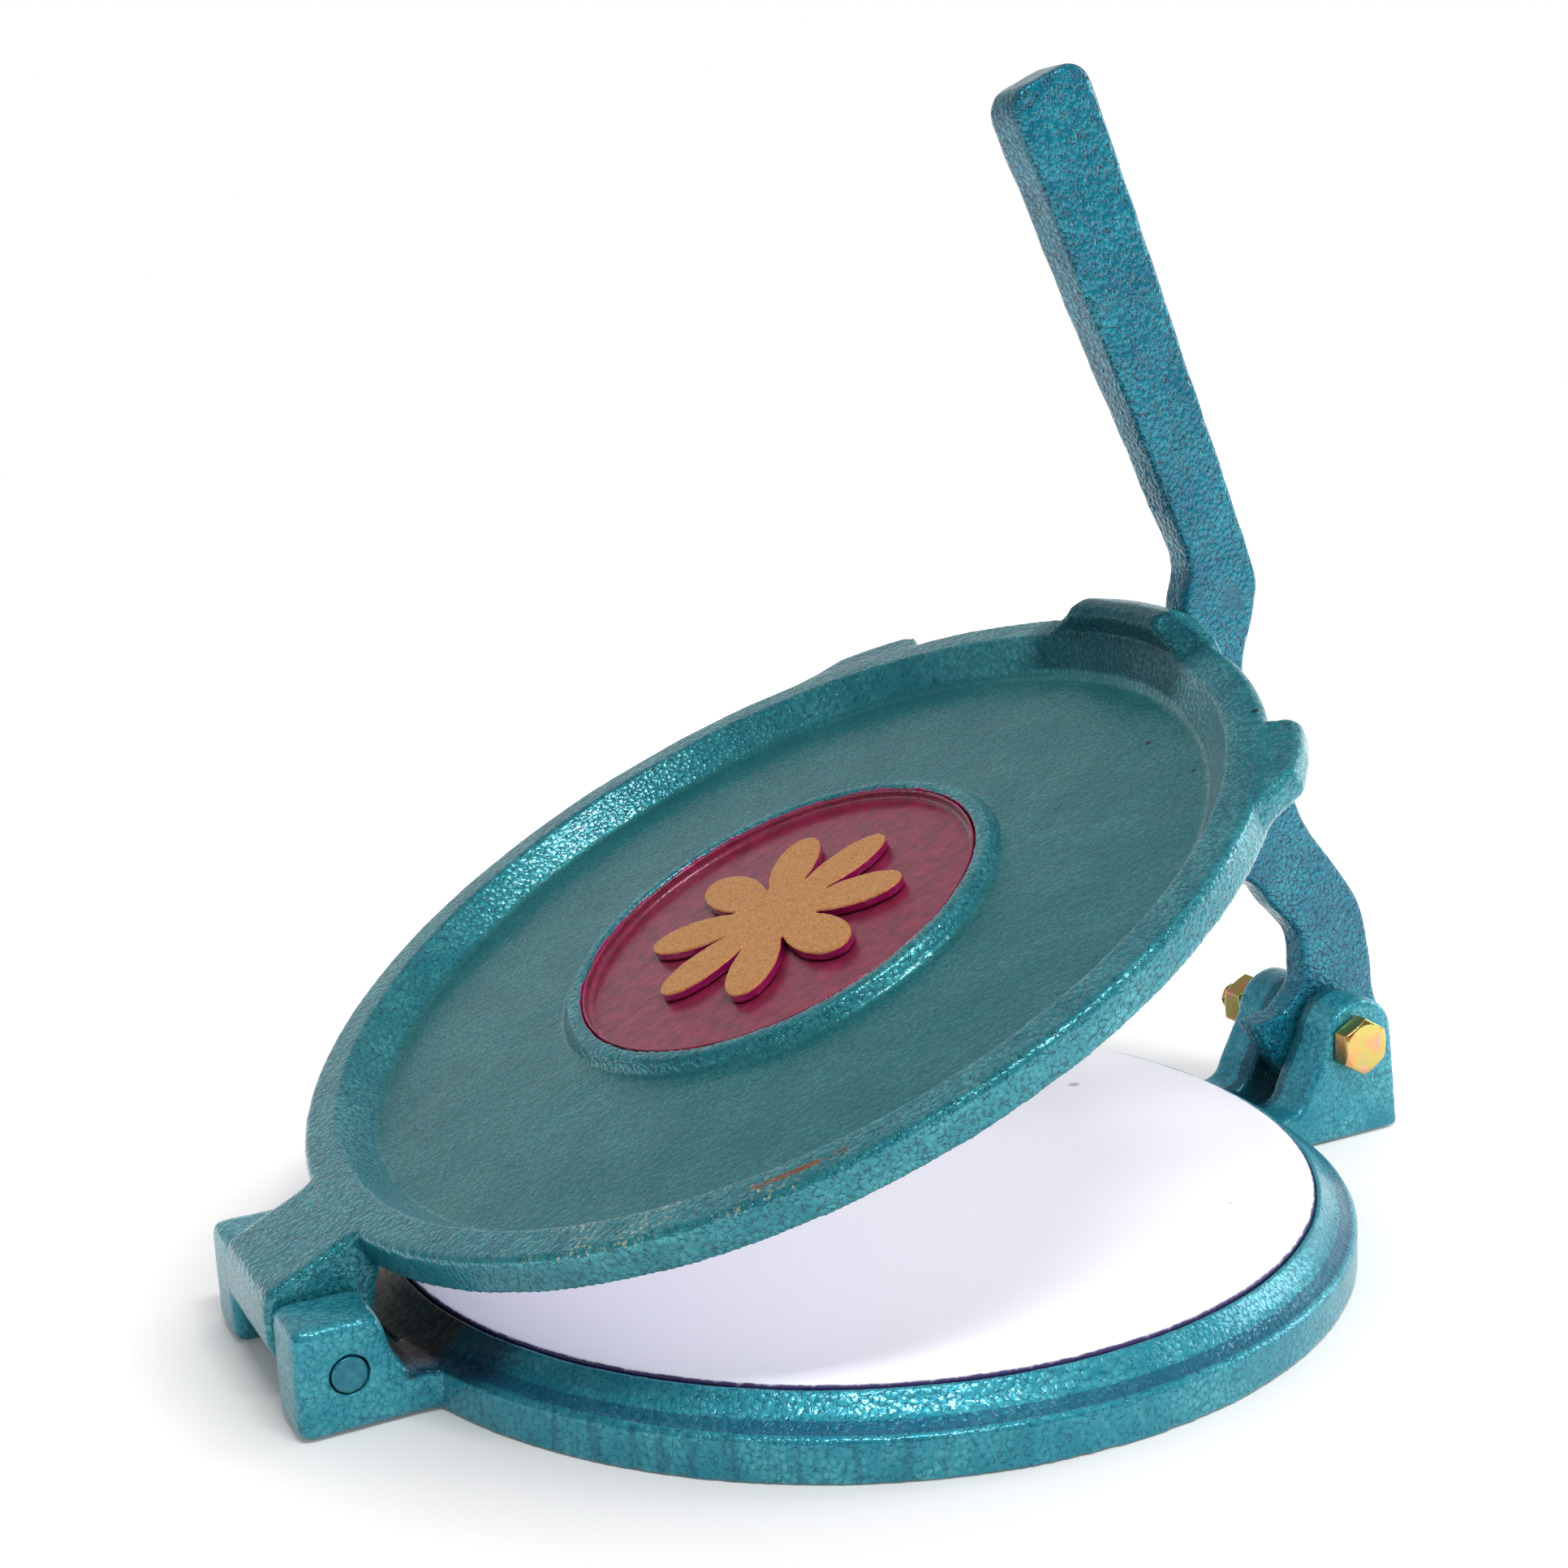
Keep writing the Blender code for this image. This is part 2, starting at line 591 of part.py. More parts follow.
def make_top_plate(parts, helpers, hinge, material):
    """The upper casting with its hinge lug, nose block and finger tabs."""
    plate = turned("top_plate", plate_profile(), CASTING_STEPS, parts, hinge, plate_place())
    lug = slab("hinge_lug", lug_outline(), LUG_WIDTH, helpers, hinge, flat_standing())
    combine(plate, hide_helper(round_edges(lug, CAST_ROUND)), "UNION")
    nose = turned("nose_block", nose_section(), CASTING_STEPS, helpers, hinge, plate_place())
    across = Matrix.Rotation(math.pi / 2, 4, "Z") @ Matrix.Rotation(math.pi / 2, 4, "X")
    gate_middle = Matrix.Translation((PLATE_REACH + NOSE_REACH, 0.0, PLATE_LIFT))
    gate = slab("nose_gate", nose_gate_outline(), 2 * (NOSE_REACH - DISH_RADIUS), helpers, hinge,
                gate_middle @ across)
    combine(nose, hide_helper(gate), "INTERSECT")
    combine(plate, hide_helper(nose), "UNION")
    tab_height = PLATE_RIM_HEIGHT - TAB_DROP - TAB_UNDERCUT
    tab_middle = Matrix.Translation((PLATE_REACH, 0.0, PLATE_LIFT + TAB_UNDERCUT + tab_height / 2))
    for side, label in ((-1, "near"), (1, "far")):
        outline = [(x, side * y) for x, y in tab_outline()]
        tab = slab("finger_tab_" + label, outline, tab_height, helpers, hinge, tab_middle)
        combine(plate, hide_helper(round_edges(tab, CLEVIS_ROUND)), "UNION")
    hole = shaft("lug_hole", PIN_BORE, -EAR_OUTER, EAR_OUTER, helpers)
    hole.parent = hinge
    combine(plate, hide_helper(hole), "DIFFERENCE")
    return settle(plate, material)


# Badge
def make_badge(parts, hinge, enamel, gilt):
    """The enamelled floor inside the boss ring and the raised rosette on it."""
    rim_top = RING_HEIGHT - TOUCH_GAP
    wall_inner = BADGE_RADIUS - BADGE_WALL
    floor_profile = [
        (0.0, BADGE_TOP),
        (wall_inner - BADGE_WALL, BADGE_TOP),
        (wall_inner, BADGE_TOP + BADGE_WALL),
        (wall_inner, rim_top),
        (BADGE_RADIUS, rim_top),
        (BADGE_RADIUS, BADGE_BOTTOM),
        (0.0, BADGE_BOTTOM),
    ]
    floor = turned("badge_floor", floor_profile, RING_STEPS * 2, parts, hinge, plate_place())
    settle(floor, enamel)
    middle = BADGE_TOP + TOUCH_GAP + ROSETTE_THICKNESS / 2
    place = Matrix.Translation((PLATE_REACH, 0.0, PLATE_LIFT + middle))
    rosette = slab("badge_rosette", rosette_outline(), ROSETTE_THICKNESS, parts, hinge, place)
    settle(rosette, gilt)


def rosette_outline():
    """Plan outline of a plain flower: round-ended petals joined at a centre disc."""
    point_count = ROSETTE_PETALS * ROSETTE_PETAL_POINTS
    points = []
    for index in range(point_count):
        angle = math.tau * index / point_count
        bloom = abs(math.cos(angle * ROSETTE_PETALS / 2)) ** ROSETTE_BLUNTNESS
        radius = ROSETTE_RADIUS * (ROSETTE_WAIST_SHARE + (1 - ROSETTE_WAIST_SHARE) * bloom)
        points.append((radius * math.cos(angle), radius * math.sin(angle)))
    return points


# Lever
def grip_points():
    """The grip's outline from the elbow's outer side round the tip to its inner side."""
    along = Vector((-math.sin(GRIP_LEAN), math.cos(GRIP_LEAN)))
    outward = Vector((math.cos(GRIP_LEAN), math.sin(GRIP_LEAN)))
    elbow = Vector((-ELBOW_SET, NECK_RISE))

    def half_width(distance):
        return (GRIP_WIDTH_LOW + (GRIP_WIDTH_TOP - GRIP_WIDTH_LOW) * distance / GRIP_LENGTH) / 2

    def spot(distance, across):
        return tuple(elbow + along * distance + outward * across)

    shoulder = GRIP_LENGTH - TIP_ROUND
    points = [spot(GRIP_START, half_width(GRIP_START)), spot(shoulder / 2, half_width(shoulder / 2))]
    corner = half_width(shoulder) - TIP_ROUND
    for centre, start in ((corner, 0.0), (-corner, math.pi / 2)):
        for step in range(CORNER_STEPS + 1):
            turn = start + math.pi / 2 * step / CORNER_STEPS
            points.append(spot(shoulder + TIP_ROUND * math.sin(turn), centre + TIP_ROUND * math.cos(turn)))
    points.append(spot(shoulder / 2, -half_width(shoulder / 2)))
    return points


def lever_outline():
    """Side outline of the lever about the bolt: under the hub, outer side, grip, inner side, mouth."""
    under = [(HUB_REACH * across, HUB_REACH * up) for across, up in HUB_UNDER_SHARES]
    outer = [(HUB_REACH * across, HUB_REACH * up) for across, up in HUB_OUTER_SHARES]
    outer += [(ELBOW_SET * across, NECK_RISE * up) for across, up in NECK_OUTER_SHARES]
    inner = [(ELBOW_SET * across, NECK_RISE * up) for across, up in NECK_INNER_SHARES]
    mouth = [(HUB_REACH * across, HUB_REACH * up) for across, up in MOUTH_SHARES]
    return flow(under)[:-1] + flow(outer) + grip_points() + flow(inner)[:-1] + flow(mouth)


def make_lever(parts, helpers, material):
    """The pressing lever, thicker towards the grip's tip, bored for the bolt."""
    place = flat_standing(PIVOT_X, 0.0, PIVOT_HEIGHT)
    lever = slab("lever", lever_outline(), LEVER_THICKNESS, parts, place=place)
    tip = NECK_RISE + GRIP_LENGTH * math.cos(GRIP_LEAN)
    start = NECK_RISE / 2
    work = bmesh.new()
    work.from_mesh(lever.data)
    everything = work.verts[:] + work.edges[:] + work.faces[:]
    bmesh.ops.bisect_plane(work, geom=everything, plane_co=(0.0, start, 0.0), plane_no=(0.0, 1.0, 0.0))
    for corner in work.verts:
        rise = max(corner.co.y - start, 0.0) / (tip - start)
        corner.co.z *= 1 + rise * (GRIP_THICKNESS / LEVER_THICKNESS - 1)
    work.to_mesh(lever.data)
    work.free()
    round_edges(lever, LEVER_ROUND, angle=math.radians(50))
    hole = shaft("lever_hole", BOLT_BORE, -CLEVIS_OUTER, CLEVIS_OUTER, helpers)
    hole.location = (PIVOT_X, 0.0, PIVOT_HEIGHT)
    combine(lever, hide_helper(hole), "DIFFERENCE")
    return settle(lever, material)


def outline_gap(point, outline):
    """Distance from a point to a closed outline, negative inside it."""
    spot = Vector(point)
    nearest = math.inf
    inside = False
    for index, first in enumerate(outline):
        start = Vector(outline[index - 1])
        end = Vector(first)
        run = end - start
        share = max(0.0, min(1.0, (spot - start).dot(run) / max(run.length_squared, WELD * WELD)))
        nearest = min(nearest, (start + run * share - spot).length)
        if (start.y > spot.y) != (end.y > spot.y):
            crossing = start.x + (spot.y - start.y) * run.x / run.y
            inside = inside != (spot.x < crossing)
    return -nearest if inside else nearest


def resting_angle():
    """The opening at which the nose leans on the lever's neck, a touch gap off it."""
    lever = [(PIVOT_X + x, PIVOT_HEIGHT + z) for x, z in lever_outline()]
    nose = [(PLATE_REACH + radius, PLATE_LIFT + height) for radius, height in nose_section()]

    def gap(angle):
        turn = Matrix.Rotation(angle, 2)
        spots = [turn @ Vector(corner) + Vector((PIN_X, PIN_HEIGHT)) for corner in nose]
        return min(outline_gap(spot, lever) for spot in spots)

    angle = SEARCH_START
    step = SEARCH_STEP
    while gap(angle - step) > TOUCH_GAP and angle > step:
        angle -= step
    while step > WELD / 10:
        step /= 2
        if gap(angle - step) > TOUCH_GAP:
            angle -= step
    return angle


# Pin, bolt and nut
def hexagon(name, low, high, group):
    """A hexagonal prism along Y, one corner up, its rims chamfered."""
    mesh = bpy.data.meshes.new(name)
    work = bmesh.new()
    bmesh.ops.create_cone(
        work, cap_ends=True, segments=6, radius1=HEX_RADIUS, radius2=HEX_RADIUS, depth=high - low)
    middle = Matrix.Translation((0.0, (high + low) / 2, 0.0))
    bmesh.ops.transform(work, matrix=middle @ Matrix.Rotation(math.pi / 2, 4, "X"), verts=work.verts)
    work.to_mesh(mesh)
    work.free()
    return add_object(name, mesh, group)


def hexagon_limit(name, low, high, low_chamfer, high_chamfer, group):
    """The turned shape that takes the corners off a hexagon."""
    inner = HEX_RADIUS - 2 * HEX_CHAMFER
    profile = [
        (0.0, high),
        (inner if high_chamfer else HEX_RADIUS, high),
        (HEX_RADIUS, high - HEX_CHAMFER),
        (HEX_RADIUS, low + HEX_CHAMFER),
        (inner if low_chamfer else HEX_RADIUS, low),
        (0.0, low),
    ]
    limit = turned(name, profile, SHAFT_STEPS, group)
    limit.rotation_euler = (-math.pi / 2, 0.0, 0.0)
    return limit


def make_hardware(parts, helpers, zinc, steel):
    """The hinge pin, the pivot bolt with its head on the near side, and the nut."""
    pin = shaft("hinge_pin", PIN_RADIUS, -EAR_OUTER, EAR_OUTER, parts)
    pin.location = (PIN_X, 0.0, PIN_HEIGHT)
    settle(pin, steel)
    pivot = Vector((PIVOT_X, 0.0, PIVOT_HEIGHT))
    head_base = -CLEVIS_OUTER - TOUCH_GAP
    head_top = head_base - HEAD_HEIGHT
    nut_base = CLEVIS_OUTER + TOUCH_GAP
    nut_top = nut_base + NUT_HEIGHT
    bolt = hexagon("pivot_bolt", head_top, head_base, parts)
    limit = hexagon_limit("head_limit", head_top, head_base, True, False, helpers)
    shank = shaft("bolt_shank", BOLT_RADIUS, head_base - HEAD_HEIGHT / 2, nut_top + BOLT_STICK_OUT, helpers)
    for piece in (bolt, limit, shank):
        piece.location = pivot
    combine(bolt, hide_helper(limit), "INTERSECT")
    combine(bolt, hide_helper(round_edges(shank, HEX_CHAMFER, segments=1)), "UNION")
    settle(bolt, zinc)
    nut = hexagon("pivot_nut", nut_base, nut_top, parts)
    nut_limit = hexagon_limit("nut_limit", nut_base, nut_top, True, True, helpers)
    nut_hole = shaft("nut_hole", BOLT_BORE, nut_base - CUT_OVERRUN, nut_top + CUT_OVERRUN, helpers)
    for piece in (nut, nut_limit, nut_hole):
        piece.location = pivot
    combine(nut, hide_helper(nut_limit), "INTERSECT")
    combine(nut, hide_helper(nut_hole), "DIFFERENCE")
    settle(nut, zinc)


def main():
    """Build the press at rest: the upper casting leans open on the lever's neck."""
    clear_scene()
    parts = new_collection("roti_press")
    helpers = new_collection("cutters_and_blocks")
    lower_iron = new_material("lower_enamelled_iron", TEAL, 0.35, 0.4)
    upper_iron = new_material("upper_enamelled_iron", TEAL, 0.35, 0.4)
    lever_iron = new_material("lever_enamelled_iron", TEAL, 0.35, 0.4)
    coating = new_material("white_coating", WHITE, 0.45, 0.0)
    enamel = new_material("crimson_enamel", CRIMSON, 0.3, 0.0)
    gilt = new_material("gilt_paint", GILT, 0.5, 0.2)
    zinc = new_material("yellow_zinc", ZINC, 0.3, 1.0)
    steel = new_material("pin_steel", STEEL, 0.4, 1.0)

    hinge = add_object("hinge_axis", None, parts)
    hinge.location = (PIN_X, 0.0, PIN_HEIGHT)
    hinge.rotation_euler = (0.0, -resting_angle(), 0.0)
    bpy.context.view_layer.update()

    make_base(parts, helpers, lower_iron)
    make_faces(parts, hinge, coating)
    make_top_plate(parts, helpers, hinge, upper_iron)
    make_badge(parts, hinge, enamel, gilt)
    make_lever(parts, helpers, lever_iron)
    make_hardware(parts, helpers, zinc, steel)
    print("opening angle", round(math.degrees(-hinge.rotation_euler.y), 3))


main()
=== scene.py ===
# %% [markdown]
# # A cast-iron roti press in teal hammertone enamel
#
# The press is two round castings on a hinge and a hooked lever on a bolt.
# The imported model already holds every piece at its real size, so this lesson never sizes or moves one.
# It gives each piece the surface that the foundry and the spray booth gave it.

# %% Load the fixed frame
import math

import bmesh
import bpy
import numpy as np
from mathutils import Matrix, Vector, noise


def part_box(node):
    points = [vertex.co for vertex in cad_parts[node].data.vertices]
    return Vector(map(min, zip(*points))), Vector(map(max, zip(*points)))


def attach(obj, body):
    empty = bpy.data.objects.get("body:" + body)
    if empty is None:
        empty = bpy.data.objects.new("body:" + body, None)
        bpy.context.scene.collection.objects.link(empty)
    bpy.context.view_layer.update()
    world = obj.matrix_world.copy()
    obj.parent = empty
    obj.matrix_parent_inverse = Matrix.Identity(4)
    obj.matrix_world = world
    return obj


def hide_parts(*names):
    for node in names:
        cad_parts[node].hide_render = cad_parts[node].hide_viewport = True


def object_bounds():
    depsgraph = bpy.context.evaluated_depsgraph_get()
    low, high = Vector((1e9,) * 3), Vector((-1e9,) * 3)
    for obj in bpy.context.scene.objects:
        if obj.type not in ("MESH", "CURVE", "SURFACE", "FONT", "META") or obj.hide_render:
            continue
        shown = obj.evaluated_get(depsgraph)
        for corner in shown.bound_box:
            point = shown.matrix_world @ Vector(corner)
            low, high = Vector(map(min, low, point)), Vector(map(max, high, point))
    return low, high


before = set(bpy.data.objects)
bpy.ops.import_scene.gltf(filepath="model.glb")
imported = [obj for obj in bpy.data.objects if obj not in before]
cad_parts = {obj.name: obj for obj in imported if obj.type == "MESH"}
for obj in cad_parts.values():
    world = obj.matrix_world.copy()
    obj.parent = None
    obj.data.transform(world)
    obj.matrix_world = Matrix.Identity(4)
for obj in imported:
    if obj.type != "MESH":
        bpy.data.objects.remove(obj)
cad_low, cad_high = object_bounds()
MM = 0.001
print("size in mm", [round(side / MM, 1) for side in cad_high - cad_low])

# %% [markdown]
# ## The camera
#
# The place, the turn and the focal length come from a least-squares fit to points measured in the
# photograph, along the rims of both plates and on the hinge and the clevis.
# The camera stands at the front left, a little above the open plate, and looks down by twelve degrees.
# The same lens from farther away would flatten the press, so the place matters as much as the lens.

# %% Camera
CAMERA_PLACE = (-0.19849, -0.37133, 0.18161)
CAMERA_TURN = (78.11177, 2.33767, -27.35049)
CAMERA_LENS = 50.8346
CAMERA_SENSOR = 36.0

camera_data = bpy.data.cameras.new("camera")
camera_data.lens = CAMERA_LENS
camera_data.sensor_width = CAMERA_SENSOR
camera_data.clip_start = 10 * MM
camera = bpy.data.objects.new("camera", camera_data)
camera.location = CAMERA_PLACE
camera.rotation_euler = [math.radians(turn) for turn in CAMERA_TURN]
bpy.context.scene.collection.objects.link(camera)
bpy.context.scene.camera = camera
bpy.context.scene.view_settings.view_transform = "Standard"
print("camera", [round(value, 3) for value in camera.location])

# %% [markdown]
# ## Small helpers for node trees
#
# A node tree is easier to read when a node and what feeds it are written in one call.
# `put` adds a node, and each of its inputs is either a plain value or the output of another node.

# %% Node helpers
def put(tree, kind, inputs=None, **settings):
    """Add a node; inputs maps a socket's name or number to a value or to an output socket."""
    node = tree.nodes.new(kind)
    for name, value in settings.items():
        setattr(node, name, value)
    for name, value in (inputs or {}).items():
        if isinstance(value, bpy.types.NodeSocket):
            tree.links.new(value, node.inputs[name])
        else:
            node.inputs[name].default_value = value
    return node


def maths(tree, operation, *values):
    """The result of a Math node."""
    return put(tree, "ShaderNodeMath", dict(enumerate(values)), operation=operation).outputs[0]


def ramp(tree, value, low, high, start=0.0, end=1.0):
    """A value moved smoothly from start to end while it goes from low to high."""
    inputs = {"Value": value, "From Min": low, "From Max": high, "To Min": start, "To Max": end}
    node = put(tree, "ShaderNodeMapRange", inputs, interpolation_type="SMOOTHSTEP")
    return node.outputs["Result"]


def mix_colour(tree, share, first, second, blend="MIX"):
    """Two colours mixed by a share."""
    node = put(tree, "ShaderNodeMix", data_type="RGBA", blend_type=blend)
    for index, value in ((0, share), (6, first), (7, second)):
        if isinstance(value, bpy.types.NodeSocket):
            tree.links.new(value, node.inputs[index])
        else:
            node.inputs[index].default_value = value
    return node.outputs[2]


def mix_value(tree, share, first, second):
    """Two numbers mixed by a share."""
    node = put(tree, "ShaderNodeMix", data_type="FLOAT")
    for index, value in ((0, share), (2, first), (3, second)):
        if isinstance(value, bpy.types.NodeSocket):
            tree.links.new(value, node.inputs[index])
        else:
            node.inputs[index].default_value = value
    return node.outputs[0]


def all_of(tree, *masks):
    """1 where every mask is 1."""
    whole = masks[0]
    for mask in masks[1:]:
        whole = maths(tree, "MULTIPLY", whole, mask)
    return whole


def grain(tree, vector, scale, detail=2.0, roughness=0.5):
    """A noise value between 0 and 1; the scale is in blobs to a metre."""
    inputs = {"Vector": vector, "Scale": scale, "Detail": detail, "Roughness": roughness}
    return put(tree, "ShaderNodeTexNoise", inputs).outputs["Fac"]


def rgb(red, green, blue):
    """A display colour, 0 to 255, as the linear colour that a shader takes."""
    shares = [level / 255 for level in (red, green, blue)]
    linear = [share / 12.92 if share <= 0.04045 else ((share + 0.055) / 1.055) ** 2.4 for share in shares]
    return (*linear, 1.0)


print("teal is", [round(level, 3) for level in rgb(40, 130, 150)])

# %% [markdown]
# ## Floor, background and lamps
#
# The press stands on a white sweep. The floor is plain white paint with a glow that only the camera and
# mirrors see. It grows away from the press, so the open floor is pure white and the shadow stays at the foot.
# A long soft box hangs above the camera and a second stands at the right. A weak one, which no mirror shows,
# fills the front.

# %% Stage
FLOOR_HALF = 3.0
FLOOR_DROP = 0.0002
FLOOR_WHITE = (0.80, 0.80, 0.80, 1.0)
FLOOR_GLOW = 0.06
FADE_START, FADE_END = 0.105, 0.22
ROOM_LEVEL = 0.20
SWEEP_BACK = (-0.25, 0.35)
SWEEP_HEIGHT, SWEEP_TOP = (0.15, 0.75), 0.15
SWEEP_LEFT, SWEEP_SIDE = (-0.85, -0.15), 0.1
AMBIENT_ACROSS = (-0.8, 0.8)
AMBIENT_LEFT, AMBIENT_RIGHT = 0.20, 0.95


def light_path(tree):
    """1 for what the camera sees, and 1 for what a mirror or a lens sees."""
    path = put(tree, "ShaderNodeLightPath").outputs
    return path["Is Camera Ray"], maths(tree, "MAXIMUM", path["Is Glossy Ray"], path["Is Transmission Ray"])


def make_floor():
    """A white floor at the foot of the press, whose glow grows away from it."""
    material = bpy.data.materials.new("white_sweep")
    material.use_nodes = True
    tree = material.node_tree
    tree.nodes.clear()
    paint = put(tree, "ShaderNodeBsdfDiffuse", {"Color": FLOOR_WHITE}).outputs[0]
    place = put(tree, "ShaderNodeTexCoord").outputs["Object"]
    away = put(tree, "ShaderNodeVectorMath", {0: place}, operation="LENGTH").outputs["Value"]
    glow = ramp(tree, away, FADE_START, FADE_END, FLOOR_GLOW, 1.0)
    seen = maths(tree, "MAXIMUM", *light_path(tree))
    light = put(tree, "ShaderNodeEmission", {"Strength": maths(tree, "MULTIPLY", seen, glow)}).outputs[0]
    both = put(tree, "ShaderNodeAddShader", {0: paint, 1: light}).outputs[0]
    put(tree, "ShaderNodeOutputMaterial", {"Surface": both})
    mesh = bpy.data.meshes.new("floor")
    corners = [(-FLOOR_HALF, -FLOOR_HALF), (FLOOR_HALF, -FLOOR_HALF), (FLOOR_HALF, FLOOR_HALF),
               (-FLOOR_HALF, FLOOR_HALF)]
    mesh.from_pydata([(x, y, -FLOOR_DROP) for x, y in corners], [], [(0, 1, 2, 3)])
    mesh.materials.append(material)
    floor = bpy.data.objects.new("floor", mesh)
    bpy.context.scene.collection.objects.link(floor)
    return floor


def make_world():
    """White to look at, white behind the press and dim behind the camera in a mirror, plain as light."""
    world = bpy.data.worlds.new("white_room")
    world.use_nodes = True
    tree = world.node_tree
    tree.nodes.clear()
    camera_ray, mirror_ray = light_path(tree)
    towards = put(tree, "ShaderNodeTexCoord").outputs["Generated"]
    sides = put(tree, "ShaderNodeSeparateXYZ", {0: towards}).outputs
    high = ramp(tree, sides["Z"], *SWEEP_HEIGHT, 1.0, SWEEP_TOP)
    left = ramp(tree, sides["X"], *SWEEP_LEFT, SWEEP_SIDE, 1.0)
    sweep = all_of(tree, ramp(tree, sides["Y"], *SWEEP_BACK), high, left)
    ambient = ramp(tree, sides["X"], *AMBIENT_ACROSS, AMBIENT_LEFT, AMBIENT_RIGHT)
    mirrored = mix_value(tree, mirror_ray, ambient, mix_value(tree, sweep, ROOM_LEVEL, 1.0))
    strength = mix_value(tree, camera_ray, mirrored, 1.0)
    sky = put(tree, "ShaderNodeBackground", {"Color": (1.0, 1.0, 1.0, 1.0), "Strength": strength})
    put(tree, "ShaderNodeOutputWorld", {"Surface": sky.outputs[0]})
    bpy.context.scene.world = world


def soft_box(name, towards, distance, size, power):
    """A rectangular area lamp that faces the middle of the press."""
    lamp = bpy.data.lights.new(name, "AREA")
    lamp.shape = "RECTANGLE"
    lamp.size, lamp.size_y = size
    lamp.energy = power
    holder = bpy.data.objects.new(name, lamp)
    aim = Vector(towards).normalized()
    holder.location = (cad_low + cad_high) / 2 + aim * distance
    holder.rotation_euler = aim.to_track_quat("Z", "Y").to_euler()
    bpy.context.scene.collection.objects.link(holder)
    return holder


make_floor()
make_world()
soft_box("overhead_box", towards=(-0.10, -0.52, 0.85), distance=1.0, size=(0.50, 0.13), power=6.0)
soft_box("right_box", towards=(0.95, -0.20, 0.30), distance=1.1, size=(0.4, 0.6), power=4.0)
front_fill = soft_box("front_fill", towards=(0.35, -0.92, 0.12), distance=1.4, size=(0.9, 0.7), power=3.7)
front_fill.visible_glossy = False

# %% [markdown]
# ## Where the open plate lies
#
# The upper casting leans open, so its patterns need its own axes. The flat press face under it gives them:
# the middle of the box around its corners is its centre, and its thinnest direction is the axis.
# The angle could be typed in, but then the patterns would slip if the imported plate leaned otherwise.

# %% The plate's own axes
def corners_of(node):
    """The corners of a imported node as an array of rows."""
    return np.array([corner.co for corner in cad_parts[node].data.vertices])


def disc_axes(node):
    """The placement whose Z is the axis of a disc and whose X points away from the hinge."""
    places = np.unique(corners_of(node).round(6), axis=0)
    centre = (places.max(axis=0) + places.min(axis=0)) / 2
    thin = np.linalg.svd(places - centre, full_matrices=False)[2][2]
    up = Vector(thin if thin[2] > 0 else -thin)
    across = Vector((0.0, 1.0, 0.0))
    along = across.cross(up)
    turn = Matrix((along, across, up)).transposed().to_4x4()
    return Matrix.Translation(Vector(centre)) @ turn


PLATE_FACE = disc_axes("press_face_upper")
BASE_AXES = Matrix.Identity(4)
FACE_RADIUS = float(np.abs(corners_of("press_face_lower")[:, 0]).max())
OPENING = math.degrees(PLATE_FACE.to_euler().y)
print("plate opened by", round(-OPENING, 2), "degrees, faces", round(FACE_RADIUS / MM, 1), "mm in radius")

# %% [markdown]
# ## Giving a casting its skin
#
# Sand casting leaves no sharp edge and no true flat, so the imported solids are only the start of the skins.
# A modifier could stay live on each piece, but a plain mesh is what the export needs.
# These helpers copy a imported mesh, run modifiers on it, and read and write its corners as arrays.

# %% Mesh helpers
def merged_copy(node):
    """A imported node's mesh, copied, with the corners that meet made one."""
    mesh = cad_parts[node].data.copy()
    work = bmesh.new()
    work.from_mesh(mesh)
    bmesh.ops.remove_doubles(work, verts=work.verts, dist=0.001 * MM)
    bmesh.ops.recalc_face_normals(work, faces=work.faces)
    work.to_mesh(mesh)
    work.free()
    return mesh


def with_modifiers(mesh, *steps):
    """The mesh after some modifiers, each written as a kind and its settings."""
    helper = bpy.data.objects.new("helper", mesh)
    bpy.context.scene.collection.objects.link(helper)
    for kind, settings in steps:
        modifier = helper.modifiers.new(kind.lower(), kind)
        for name, value in settings.items():
            setattr(modifier, name, value)
    evaluated = helper.evaluated_get(bpy.context.evaluated_depsgraph_get())
    result = bpy.data.meshes.new_from_object(evaluated)
    bpy.data.objects.remove(helper)
    return result


def mesh_places(mesh):
    """The corners of a mesh as an array of rows."""
    places = np.empty(3 * len(mesh.vertices))
    mesh.vertices.foreach_get("co", places)
    return places.reshape(-1, 3)


def set_places(mesh, places):
    """Write the corners of a mesh from an array of rows."""
    mesh.vertices.foreach_set("co", places.ravel())
    mesh.update()


def count_triangles(mesh):
    """How many triangles a mesh has."""
    return sum(len(face.vertices) - 2 for face in mesh.polygons)


print("the lever is packed with", count_triangles(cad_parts["lever"].data), "triangles")

# %% [markdown]
# ## Round, soft and uneven
#
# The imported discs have 96 sides, and here every point of a disc moves out onto the true circle.
# Relaxing draws each point towards its neighbours, which rounds the edges as sand and paint do.
# Two slow noises then push the skin in and out by about a tenth of a millimetre.

# %% Moving the points of a skin
SIDES = 96
ROUND_REACH = 101.2 * MM
WAVE_STEPS = ((14 * MM, 0.14 * MM), (3.2 * MM, 0.05 * MM))
NO_WAVES = ()


def onto_circle(local):
    """Points on a many-sided disc, in the disc's own axes, moved onto the circle through its corners."""
    step = math.tau / SIDES
    angle = np.arctan2(local[:, 1], local[:, 0])
    from_middle = np.mod(angle, step) - step / 2
    reach = np.hypot(local[:, 0], local[:, 1])
    factor = np.where(reach < ROUND_REACH, np.cos(from_middle) / math.cos(step / 2), 1.0)
    moved = local.copy()
    moved[:, :2] *= factor[:, None]
    return moved


